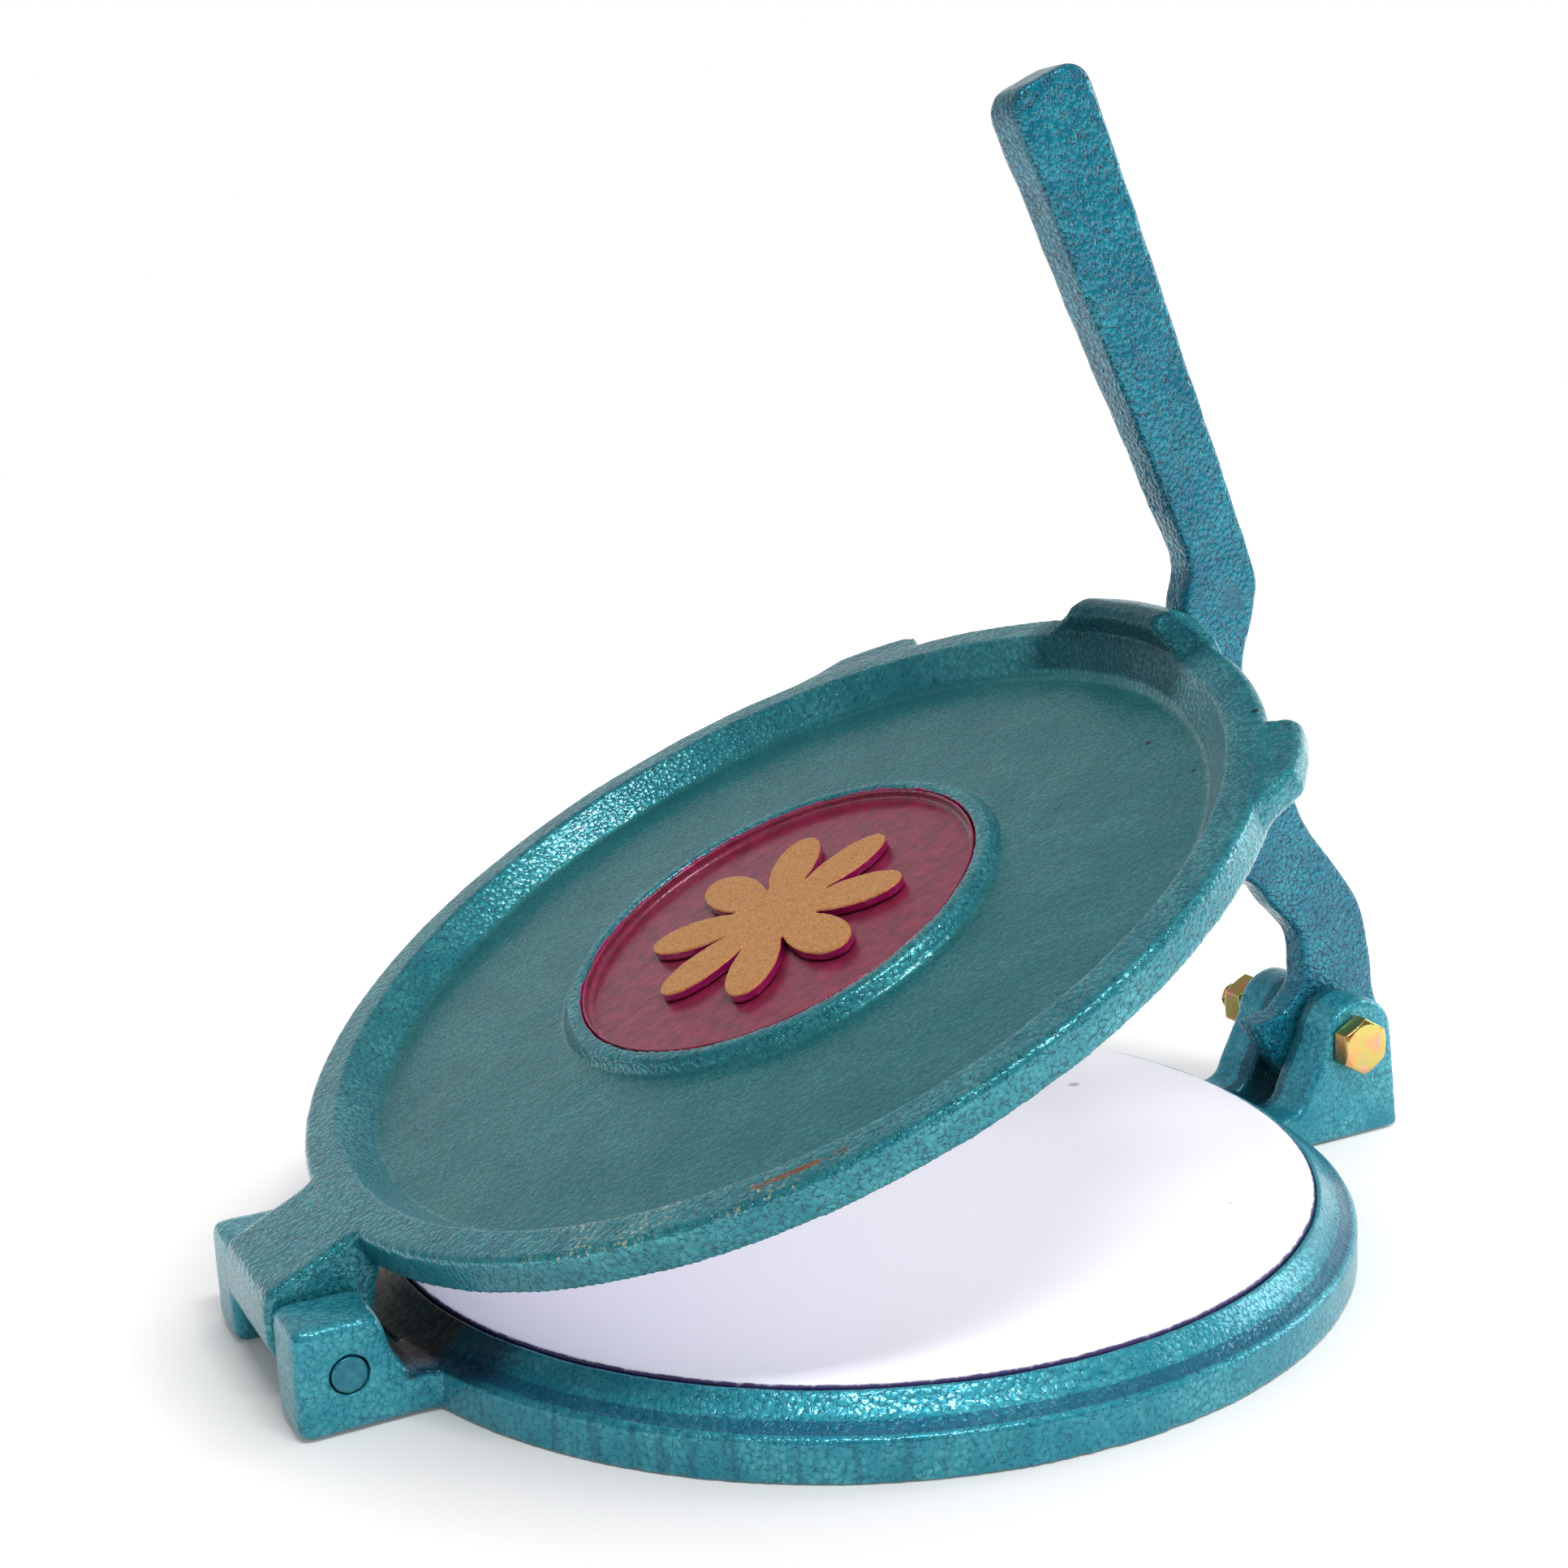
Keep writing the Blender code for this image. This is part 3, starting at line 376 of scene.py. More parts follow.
def waves(mesh, local, steps):
    """How far each point is pushed along its normal."""
    total = np.zeros(len(local))
    for length, height in steps:
        total += [height * noise.noise(Vector(row) / length) for row in local]
    normals = np.empty(3 * len(local))
    mesh.vertex_normals.foreach_get("vector", normals)
    return total[:, None] * normals.reshape(-1, 3)


def everywhere(local):
    """Soften all of a piece."""
    return np.ones(len(local))


def relaxed(mesh, places, shares, rounds):
    """Places drawn towards the mean of their neighbours, each by its own share."""
    ends = np.empty(2 * len(mesh.edges), dtype=np.int64)
    mesh.edges.foreach_get("vertices", ends)
    first, second = ends[0::2], ends[1::2]
    count = np.bincount(ends, minlength=len(places))
    for _ in range(rounds):
        total = [np.bincount(first, places[second, side], len(places))
                 + np.bincount(second, places[first, side], len(places)) for side in range(3)]
        mean = np.array(total).T / count[:, None]
        places = places + shares[:, None] * 0.5 * (mean - places)
    return places


half_side = math.pi / SIDES
side_middle = np.array([[math.cos(half_side), math.sin(half_side), 0.0]]) * FACE_RADIUS
print("the middle of a side moves out by", np.round((onto_circle(side_middle) - side_middle) / MM, 3), "mm")

# %% [markdown]
# ## The skin of a casting
#
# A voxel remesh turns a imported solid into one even, closed skin, which sculpting by numbers needs.
# A bevel would leave straight edges, and a cast piece has none. Each point keeps its place in the casting's
# own axes as an attribute, which the paint uses later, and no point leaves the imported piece's box.

# %% Skin and dress
SKIN_LIMIT = 190000


def skin(node, voxel, softening, axes, steps=WAVE_STEPS, shape=onto_circle):
    """A finished mesh for a node, with its place in its own axes kept in the attribute place."""
    mesh = with_modifiers(merged_copy(node), ("REMESH", {"mode": "VOXEL", "voxel_size": voxel}))
    turn = np.array(axes.to_3x3())
    origin = np.array(axes.translation)
    local = (mesh_places(mesh) - origin) @ turn
    for rounds, where in softening:
        local = relaxed(mesh, local, where(local), rounds)
    set_places(mesh, local @ turn.T + origin)
    set_places(mesh, shape(local) @ turn.T + origin + waves(mesh, local, steps))
    triangles = count_triangles(mesh)
    if triangles > SKIN_LIMIT:
        mesh = with_modifiers(mesh, ("DECIMATE", {"ratio": SKIN_LIMIT / triangles}))
    low, high = (np.array(corner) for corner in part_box(node))
    places = np.clip(mesh_places(mesh), low, high)
    set_places(mesh, places)
    own = mesh.attributes.new("place", "FLOAT_VECTOR", "POINT")
    own.data.foreach_set("vector", ((places - origin) @ turn).ravel())
    mesh.shade_smooth()
    print(node, count_triangles(mesh), "triangles")
    return mesh


def dress(name, mesh, material, node, body):
    """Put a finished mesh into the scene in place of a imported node."""
    obj = bpy.data.objects.new(name, mesh)
    mesh.materials.clear()
    mesh.materials.append(material)
    bpy.context.scene.collection.objects.link(obj)
    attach(obj, body)
    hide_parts(node)
    return obj

# %% [markdown]
# ## Hammertone enamel
#
# Hammertone paint pulls itself into small cells with dark lines between them.
# One shader group makes the pattern for the castings and the pin. A noise bends the cells, a second one
# breaks the lines, a third one lets the colour drift, and a fourth one adds flecks.
# It gives a colour, a roughness and a height.

# %% The hammertone pattern
FLOAT, COLOUR, VECTOR = "NodeSocketFloat", "NodeSocketColor", "NodeSocketVector"
HAMMER_INPUTS = {
    "Place": (VECTOR, None),
    "Cells": (FLOAT, 1000.0),
    "Cracks": (FLOAT, 0.6),
    "Flecks": (FLOAT, 0.3),
    "Base": (COLOUR, rgb(30, 120, 142)),
    "Dark": (COLOUR, rgb(6, 30, 48)),
    "Light": (COLOUR, rgb(80, 165, 175)),
}
HAMMER_OUTPUTS = {"Color": COLOUR, "Roughness": FLOAT, "Height": FLOAT}


def new_group(name, inputs, outputs):
    """An empty shader group with named inputs, each with its kind and value, and named outputs."""
    group = bpy.data.node_groups.new(name, "ShaderNodeTree")
    for label, (kind, value) in inputs.items():
        socket = group.interface.new_socket(label, in_out="INPUT", socket_type=kind)
        if value is not None:
            socket.default_value = value
    for label, kind in outputs.items():
        group.interface.new_socket(label, in_out="OUTPUT", socket_type=kind)
    return group


def bent_place(tree, place, scale, reach):
    """A place pushed about by noise, so that a pattern laid on it loses its regularity."""
    bend = put(tree, "ShaderNodeTexNoise", {"Vector": place, "Scale": scale, "Detail": 2.0}).outputs["Color"]
    middle = (0.5, 0.5, 0.5)
    centred = put(tree, "ShaderNodeVectorMath", {0: bend, 1: middle}, operation="SUBTRACT").outputs[0]
    shift = put(tree, "ShaderNodeVectorMath", {0: centred, "Scale": reach}, operation="SCALE").outputs[0]
    return put(tree, "ShaderNodeVectorMath", {0: place, 1: shift}, operation="ADD").outputs[0]


BEND_SCALE, BEND_REACH = 620.0, 1.3 * MM
BREAK_SCALE, DRIFT_SCALE, FINE_SCALE = 1100.0, 75.0, 2600.0
ROUGH_LOW, ROUGH_HIGH = 0.28, 0.50


def make_hammertone():
    """The shader group of the paint's pattern."""
    tree = new_group("hammertone", HAMMER_INPUTS, HAMMER_OUTPUTS)
    given = put(tree, "NodeGroupInput").outputs
    bent = bent_place(tree, given["Place"], BEND_SCALE, BEND_REACH)
    cells = put(tree, "ShaderNodeTexVoronoi", {"Vector": bent, "Scale": given["Cells"]}).outputs["Distance"]
    edges = put(tree, "ShaderNodeTexVoronoi", {"Vector": bent, "Scale": given["Cells"]},
                feature="DISTANCE_TO_EDGE").outputs["Distance"]
    dome = ramp(tree, cells, 0.05, 0.80, 1.0, 0.0)
    line = ramp(tree, edges, 0.01, 0.13, 1.0, 0.0)
    broken = ramp(tree, grain(tree, given["Place"], BREAK_SCALE, 2.0, 0.5), 0.46, 0.56)
    crack = all_of(tree, line, broken, given["Cracks"])
    drift = ramp(tree, grain(tree, given["Place"], DRIFT_SCALE, 5.0, 0.65), 0.32, 0.68)
    fine = grain(tree, given["Place"], FINE_SCALE, 2.0, 0.7)
    fleck = maths(tree, "MULTIPLY", ramp(tree, fine, 0.58, 0.68), given["Flecks"])
    pale = maths(tree, "MULTIPLY", maths(tree, "ADD", 0.25, dome), maths(tree, "MULTIPLY", drift, 0.6))
    painted = mix_colour(tree, pale, given["Base"], given["Light"])
    lined = mix_colour(tree, crack, painted, given["Dark"])
    colour = mix_colour(tree, fleck, lined, given["Dark"])
    rough = ramp(tree, fine, 0.3, 0.7, ROUGH_LOW, ROUGH_HIGH)
    height = maths(tree, "SUBTRACT", maths(tree, "ADD", dome, maths(tree, "MULTIPLY", fine, 0.08)), crack)
    put(tree, "NodeGroupOutput", {"Color": colour, "Roughness": rough, "Height": height})
    return tree


HAMMERTONE = make_hammertone()
print("hammertone has", len(HAMMERTONE.nodes), "nodes")

# %% [markdown]
# ## Masks
#
# A mask is a number that is 1 where something is and 0 where it isn't. These helpers make masks from a place:
# the distance from an axis or from a spot, the height, the side. Their edges are soft.

# %% Mask helpers
def own_place(tree):
    """The place of a point in its piece's own axes."""
    return put(tree, "ShaderNodeAttribute", attribute_name="place").outputs["Vector"]


def sides_of(tree, place):
    """The three coordinates of a place."""
    return put(tree, "ShaderNodeSeparateXYZ", {0: place}).outputs


def stretched(tree, place, shares):
    """A place squeezed along its axes, so that a pattern laid on it is drawn out there."""
    return put(tree, "ShaderNodeVectorMath", {0: place, 1: shares}, operation="MULTIPLY").outputs[0]


def reach_of(tree, place):
    """The distance of a place from its piece's axis."""
    flat = stretched(tree, place, (1.0, 1.0, 0.0))
    return put(tree, "ShaderNodeVectorMath", {0: flat}, operation="LENGTH").outputs["Value"]


def band(tree, value, low, high, soft):
    """1 between two values, with soft edges outside them."""
    rise = ramp(tree, value, low - soft, low)
    fall = ramp(tree, value, high, high + soft, 1.0, 0.0)
    return maths(tree, "MULTIPLY", rise, fall)


def spot(tree, place, centre, radius, soft):
    """1 around a point."""
    away = put(tree, "ShaderNodeVectorMath", {0: place, 1: centre}, operation="DISTANCE").outputs["Value"]
    return ramp(tree, away, radius - soft, radius + soft, 1.0, 0.0)


def any_of(tree, *masks):
    """1 where any mask is 1."""
    whole = masks[0]
    for mask in masks[1:]:
        whole = maths(tree, "MAXIMUM", whole, mask)
    return whole


print("mask helpers:", ", ".join(helper.__name__ for helper in (band, spot, any_of, all_of)))

# %% [markdown]
# ## The paint's recipe
#
# The paint is one recipe with another pattern size and colour for each casting. Metal flake under
# clear lacquer is a half-metallic Principled shader with a coat. On sharp edges a highlight is painted
# into the colour, and in hollows a shade is painted in.

# %% Paint recipe
# Pointiness ranges and strengths of the painted edge highlight and of the painted shade in hollows.
EDGE_RANGE, EDGE_HIGHLIGHT_SHARE = (0.52, 0.60), 0.35
HOLLOW_RANGE, HOLLOW_SHADE_SHARE = (0.40, 0.48), 0.5
LACQUER = 0.6


def new_material(name):
    """A material with an empty tree and its Principled shader."""
    material = bpy.data.materials.new(name)
    material.use_nodes = True
    tree = material.node_tree
    tree.nodes.clear()
    shader = put(tree, "ShaderNodeBsdfPrincipled")
    put(tree, "ShaderNodeOutputMaterial", {"Surface": shader.outputs[0]})
    return material, tree, shader


def set_values(shader, **values):
    """Set a shader's own sockets, with spaces in their names written as underscores."""
    for name, value in values.items():
        shader.inputs[name.replace("_", " ")].default_value = value


def enamel(name, cells, cracks, flecks, base, dark, light):
    """Hammertone enamel; gives the material, its tree and what the marks build on."""
    material, tree, shader = new_material(name)
    pattern = put(tree, "ShaderNodeGroup", node_tree=HAMMERTONE)
    values = {"Cells": cells, "Cracks": cracks, "Flecks": flecks, "Base": base, "Dark": dark, "Light": light}
    for label, value in values.items():
        pattern.inputs[label].default_value = value
    place = own_place(tree)
    tree.links.new(place, pattern.inputs["Place"])
    pointed = put(tree, "ShaderNodeNewGeometry").outputs["Pointiness"]
    # Painted highlight on sharp edges and painted shade in hollows, both found from the mesh's pointiness.
    edge = ramp(tree, pointed, *EDGE_RANGE)
    edge_highlighted = mix_colour(tree, maths(tree, "MULTIPLY", edge, EDGE_HIGHLIGHT_SHARE), pattern.outputs["Color"], light)
    hollow_shade = ramp(tree, pointed, *HOLLOW_RANGE, HOLLOW_SHADE_SHARE, 0.0)
    colour = mix_colour(tree, hollow_shade, edge_highlighted, dark)
    set_values(shader, Metallic=0.45, Specular_IOR_Level=0.1, Coat_Weight=LACQUER, Coat_Roughness=0.04)
    layers = {"place": place, "colour": colour, "rough": pattern.outputs["Roughness"],
              "height": pattern.outputs["Height"], "shader": shader}
    return material, tree, layers


def relief(tree, height, depth, strength):
    """A normal bent by a height."""
    return put(tree, "ShaderNodeBump", {"Height": height, "Distance": depth, "Strength": strength}).outputs[0]


def close_paint(tree, layers, strength=1.0, depth=0.075 * MM):
    """Link the layers of a paint to its shader; the flake and the lacquer share one relief."""
    shader = layers["shader"]
    bumpy = relief(tree, layers["height"], depth, strength)
    tree.links.new(layers["colour"], shader.inputs["Base Color"])
    tree.links.new(layers["rough"], shader.inputs["Roughness"])
    for label in ("Normal", "Coat Normal"):
        tree.links.new(bumpy, shader.inputs[label])
    if "Coat Weight" in layers:
        tree.links.new(layers["Coat Weight"], shader.inputs["Coat Weight"])

# %% [markdown]
# ## Paint of the lower casting
#
# The spray ran down the wall of the base in places, and painted shade darkens the groove between its shoulder
# and its wall.
# Between the ears lies a crescent of bare, turned iron with a painted shadow of the plate around it, and
# painted shade darkens the clevis slot.
# Masks on the casting's own axes put each of them where it belongs, at any distance from the camera.

# %% Paint of the lower casting
BASE_TEALS = rgb(34, 136, 156), rgb(4, 46, 68), rgb(96, 188, 196)
# Colours of the painted shade in the groove, of the paint's runs, and of the painted shadow by the ears and
# in the slot.
GROOVE_SHADE_BLUE, RUN_BLUE, SHADOW_BLUE = rgb(10, 56, 96), rgb(14, 62, 84), rgb(8, 26, 52)
DARK_IRON, IRON = rgb(46, 42, 42), rgb(84, 76, 72)
GROOVE_REACH, GROOVE_LEVEL = (96.7 * MM, 98.7 * MM), (6.6 * MM, 7.4 * MM)
WALL_REACH, RUNS_ALONG = (99.3 * MM, 100.4 * MM), (-60 * MM, 0.0)
CRESCENT_ALONG, CRESCENT_ACROSS = (-101 * MM, -84 * MM), (-34 * MM, 34 * MM)
CRESCENT_LEVEL, BARE_ACROSS = (6.8 * MM, 7.4 * MM), (-22 * MM, 16 * MM)
SLOT_ALONG, SLOT_ACROSS = (99 * MM, 101 * MM), (-7 * MM, 7 * MM)
TURNING_MARKS = 5200.0


def base_paint():
    """Teal, with painted shade in the groove and the clevis slot, runs on the wall, and bare turned iron in a
    painted shadow.
    """
    material, tree, layers = enamel("base_enamel", 850.0, 0.5, 0.35, *BASE_TEALS)
    place = layers["place"]
    x, y, z = (sides_of(tree, place)[name] for name in "XYZ")
    reach = reach_of(tree, place)
    # Painted shade: the band of the groove between shoulder and wall is darkened towards dark blue.
    groove = maths(tree, "MULTIPLY", band(tree, reach, *GROOVE_REACH, 0.4 * MM), 0.55)
    high = ramp(tree, z, *GROOVE_LEVEL)
    colour = mix_colour(tree, all_of(tree, groove, high), layers["colour"], GROOVE_SHADE_BLUE)
    drawn = grain(tree, stretched(tree, place, (1.0, 1.0, 0.12)), 330.0, 3.0, 0.6)
    runs = ramp(tree, drawn, 0.50, 0.66, 0.0, 0.45)
    wall = all_of(tree, band(tree, reach, *WALL_REACH, 0.3 * MM), ramp(tree, x, *RUNS_ALONG, 0.8, 0.2))
    colour = mix_colour(tree, all_of(tree, runs, wall), colour, RUN_BLUE)
    inner = all_of(tree, band(tree, x, *CRESCENT_ALONG, 2 * MM), ramp(tree, z, *CRESCENT_LEVEL),
                   band(tree, y, *CRESCENT_ACROSS, 9 * MM))
    bare = all_of(tree, inner, band(tree, y, *BARE_ACROSS, 6 * MM))
    # Painted shadow of the plate over the crescent between the ears, then painted shade in the clevis slot.
    dim = mix_colour(tree, maths(tree, "MULTIPLY", inner, 0.8), colour, SHADOW_BLUE)
    slot = all_of(tree, ramp(tree, x, *SLOT_ALONG), band(tree, y, *SLOT_ACROSS, 0.8 * MM))
    dim = mix_colour(tree, maths(tree, "MULTIPLY", slot, 0.6), dim, SHADOW_BLUE)
    streaks = grain(tree, stretched(tree, place, (0.15, 1.0, 1.0)), 900.0, 3.0, 0.6)
    iron = mix_colour(tree, ramp(tree, streaks, 0.35, 0.65), DARK_IRON, IRON)
    layers["colour"] = mix_colour(tree, bare, dim, iron)
    turned = maths(tree, "SINE", maths(tree, "MULTIPLY", reach, TURNING_MARKS))
    cut = maths(tree, "ADD", maths(tree, "MULTIPLY", turned, 0.12), streaks)
    layers["height"] = mix_value(tree, bare, layers["height"], cut)
    layers["Coat Weight"] = maths(tree, "SUBTRACT", 0.5, maths(tree, "MULTIPLY", bare, 0.45))
    close_paint(tree, layers, 0.8)
    return material


BASE_PAINT = base_paint()
print("base enamel has", len(BASE_PAINT.node_tree.nodes), "nodes")

# %% [markdown]
# ## Paint of the upper casting
#
# The dish floor is smoother and greyer than the rim. The front of the rim carries small pale painted
# highlights and one brown streak, the sand left a few pits, and the badge's crimson has run up inside the
# ring.

# %% Paint of the upper casting
PLATE_TEALS = rgb(30, 124, 138), rgb(4, 44, 56), rgb(84, 176, 182)
FLOOR_TEAL, SHADE_TEAL, PIT_BLACK = rgb(34, 112, 112), rgb(4, 34, 46), rgb(8, 22, 30)
# The cream is a painted highlight, the brown a streak on the rim, the magenta the paint inside the ring.
GLINT_CREAM, STREAK_BROWN, RING_MAGENTA = rgb(206, 206, 170), rgb(128, 84, 52), rgb(210, 24, 134)
DISH_EDGE, DISH_LEVEL = 88.0 * MM, 4.4 * MM
LAND_LEVEL = 9.6 * MM
GLINT_ALONG, GLINT_ACROSS = (-80 * MM, -50 * MM), (-58 * MM, -48 * MM)
STREAK_REACH, STREAK_ALONG = (96.0 * MM, 96.9 * MM), (-49 * MM, -37 * MM)
STREAK_ACROSS = (-60 * MM, -50 * MM)
RING_INSIDE, RING_LEVEL = 42.5 * MM, (0.5 * MM, 1 * MM)
NOSE_ALONG, NOSE_ACROSS = (80 * MM, 97.5 * MM), (-22 * MM, 22 * MM)
NOSE_LEVEL = (4.6 * MM, 5.6 * MM)
PITS = (((73.1 * MM, -30.1 * MM, 3.7 * MM), 0.55 * MM), ((68.9 * MM, -49.3 * MM, 3.7 * MM), 0.5 * MM),
        ((80.6 * MM, -57.5 * MM, 10.7 * MM), 0.7 * MM), ((-56.3 * MM, -83.4 * MM, 1.5 * MM), 1.0 * MM),
        ((-46.6 * MM, -89.1 * MM, 1.5 * MM), 0.6 * MM))


def rim_glints_and_wear(tree, place, reach, colour):
    """Painted highlight glints and one brown streak on the front of the rim."""
    x, y, z = (sides_of(tree, place)[name] for name in "XYZ")
    land = ramp(tree, z, LAND_LEVEL, LAND_LEVEL + 0.4 * MM)
    front = all_of(tree, land, band(tree, x, *GLINT_ALONG, 8 * MM),
                   ramp(tree, y, *GLINT_ACROSS, 1.0, 0.0))
    # Painted highlights: pale cream glints in specks on the front of the rim.
    glint_specks = all_of(tree, front, ramp(tree, grain(tree, place, 1300.0, 3.0, 0.7), 0.56, 0.61),
                 ramp(tree, grain(tree, place, 120.0, 3.0), 0.42, 0.56))
    colour = mix_colour(tree, maths(tree, "MULTIPLY", glint_specks, 0.8), colour, GLINT_CREAM)
    streak = all_of(tree, land, band(tree, reach, *STREAK_REACH, 0.4 * MM),
                    band(tree, x, *STREAK_ALONG, 2 * MM), ramp(tree, y, *STREAK_ACROSS, 1.0, 0.0),
                    ramp(tree, grain(tree, place, 700.0), 0.36, 0.52))
    return mix_colour(tree, streak, colour, STREAK_BROWN)


def plate_paint():
    """Teal, a smoother dish floor, crimson in the ring, painted shade on the nose, pits, painted glints and a
    streak.
    """
    material, tree, layers = enamel("plate_enamel", 850.0, 0.6, 0.7, *PLATE_TEALS)
    place = layers["place"]
    x, y, z = (sides_of(tree, place)[name] for name in "XYZ")
    reach = reach_of(tree, place)
    floor = all_of(tree, ramp(tree, reach, DISH_EDGE, DISH_EDGE + 0.6 * MM, 1.0, 0.0),
                   ramp(tree, z, DISH_LEVEL, DISH_LEVEL + 0.5 * MM, 1.0, 0.0))
    colour = mix_colour(tree, maths(tree, "MULTIPLY", floor, 0.5), layers["colour"], FLOOR_TEAL)
    colour = rim_glints_and_wear(tree, place, reach, colour)
    rough_edge = maths(tree, "MULTIPLY", grain(tree, place, 260.0, 3.0, 0.6), 0.9 * MM)
    ragged = maths(tree, "ADD", reach, rough_edge)
    crimson = all_of(tree, ramp(tree, ragged, RING_INSIDE, RING_INSIDE + 0.3 * MM, 1.0, 0.0),
                     ramp(tree, z, *RING_LEVEL))
    # Painted shade on the inner face of the nose.
    inner = all_of(tree, band(tree, x, *NOSE_ALONG, 1.5 * MM), ramp(tree, z, *NOSE_LEVEL),
                   band(tree, y, *NOSE_ACROSS, 9 * MM))
    colour = mix_colour(tree, maths(tree, "MULTIPLY", inner, 0.62), colour, SHADE_TEAL)
    colour = mix_colour(tree, crimson, colour, RING_MAGENTA)
    pits = any_of(tree, *(spot(tree, place, centre, radius, 0.25 * MM) for centre, radius in PITS))
    layers["colour"] = mix_colour(tree, pits, colour, PIT_BLACK)
    layers["Coat Weight"] = maths(tree, "SUBTRACT", LACQUER, maths(tree, "MULTIPLY", inner, 0.5))
    smooth = maths(tree, "MULTIPLY", any_of(tree, floor, crimson), 0.5)
    close_paint(tree, layers, maths(tree, "SUBTRACT", 1.0, smooth))
    return material


PLATE_PAINT = plate_paint()
print("plate enamel has", len(PLATE_PAINT.node_tree.nodes), "nodes")

# %% [markdown]
# ## Paint of the lever
#
# The cells are clearest on the lever. A patch at its elbow stayed smooth where the paint flowed together,
# and the flash on the mouth of the hook has lost its paint, so it shows brown iron.

# %% Paint of the lever
LEVER_TEALS = rgb(0, 100, 126), rgb(0, 34, 52), rgb(26, 152, 168)
PATCH_TEAL, FLASH_BROWN = rgb(34, 96, 116), rgb(84, 66, 68)
PATCH_CENTRE, PATCH_RADIUS = (96.5 * MM, -5.1 * MM, 119.0 * MM), 5.5 * MM
FLASH_SPOTS = ((101.2 * MM, -4.6 * MM, 55.3 * MM), (106.5 * MM, -4.6 * MM, 49.0 * MM),
               (110.8 * MM, -4.6 * MM, 43.8 * MM))
FLASH_RADIUS = 2.3 * MM
LEVER_RELIEF = 0.12 * MM


def lever_paint():
    """Teal with strong cracks, a smooth patch at the elbow and brown iron along the mouth of the hook."""
    material, tree, layers = enamel("lever_enamel", 820.0, 0.8, 0.4, *LEVER_TEALS)
    place = layers["place"]
    patch = all_of(tree, spot(tree, place, PATCH_CENTRE, PATCH_RADIUS, 1.5 * MM),
                   ramp(tree, grain(tree, place, 160.0, 3.0), 0.40, 0.55))
    colour = mix_colour(tree, maths(tree, "MULTIPLY", patch, 0.7), layers["colour"], PATCH_TEAL)
    ragged = bent_place(tree, place, 300.0, 3.0 * MM)
    flash = any_of(tree, *(spot(tree, ragged, centre, FLASH_RADIUS, 0.3 * MM) for centre in FLASH_SPOTS))
    layers["colour"] = mix_colour(tree, flash, colour, FLASH_BROWN)
    smooth = maths(tree, "MULTIPLY", patch, 0.6)
    close_paint(tree, layers, maths(tree, "SUBTRACT", 1.0, smooth), LEVER_RELIEF)
    return material


LEVER_PAINT = lever_paint()
print("lever enamel has", len(LEVER_PAINT.node_tree.nodes), "nodes")

# %% [markdown]
# ## Dressing the castings
#
# The discs were turned on a lathe after casting, so their edges stay crisper than those of the ears, the nose
# and the lever. Each casting is relaxed once as a whole, and a second time only where it was left as cast.
# The edge of the pin's bore is left out, because the pin fills it.

# %% Dress the castings
RIM_REACH = 100.6 * MM
RIM_LEVEL = 11.2 * MM
FADE = 2.0 * MM
PIN_PLACE = (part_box("hinge_pin")[0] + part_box("hinge_pin")[1]) / 2
PIN_CLEAR = 4.5 * MM
LEVER_WAVES = ((9 * MM, 0.30 * MM), (3.2 * MM, 0.06 * MM))


def off_the_disc(local):
    """Soften what stands out beyond a disc's rim."""
    reach = np.hypot(local[:, 0], local[:, 1])
    return np.clip((reach - RIM_REACH) / FADE, 0.0, 1.0)


def off_the_base(local):
    """Soften the ears and the clevis of the lower casting, but not the edge of the pin's bore."""
    away = np.hypot(local[:, 0] - PIN_PLACE.x, local[:, 2] - PIN_PLACE.z)
    return off_the_disc(local) * np.clip((away - PIN_CLEAR) / FADE, 0.0, 1.0)


def off_the_plate(local):
    """Soften the lug, the tabs and the nose of the upper casting."""
    above = np.clip((local[:, 2] - RIM_LEVEL) / FADE, 0.0, 1.0)
    return np.maximum(off_the_disc(local), above)


base_mesh = skin("base_plate", 0.48 * MM, ((2, everywhere), (22, off_the_base)), BASE_AXES)
dress("base_casting", base_mesh, BASE_PAINT, "base_plate", "base")
plate_mesh = skin("top_plate", 0.5 * MM, ((3, everywhere), (12, off_the_plate)), PLATE_FACE)
dress("plate_casting", plate_mesh, PLATE_PAINT, "top_plate", "plate")
lever_mesh = skin("lever", 0.4 * MM, ((22, everywhere),), BASE_AXES, LEVER_WAVES)
dress("lever_casting", lever_mesh, LEVER_PAINT, "lever", "lever")

# %% [markdown]
# ## Press faces
#
# Both discs are coated in satin white. A dark purple line of painted shade runs round the edge,
# and towards the hinge a lavender painted shade comes in. The distance from the middle places the line,
# a noise makes it ragged, and the distance along X brings in the lavender shade.

# %% Press faces
# The coating's white, the lavender painted shade towards the hinge, the purple painted shade line at the rim
# and grey specks.
FACE_WHITE, FACE_SHADE_LAVENDER = (0.93, 0.92, 0.98, 1.0), (0.90, 0.89, 1.0, 1.0)
RIM_SHADE_PURPLE, SPECK_GREY = rgb(62, 48, 104), rgb(96, 90, 120)
SHADE_LAVENDER_ALONG = (-92 * MM, -20 * MM)
FACE_VOXEL = 0.45 * MM


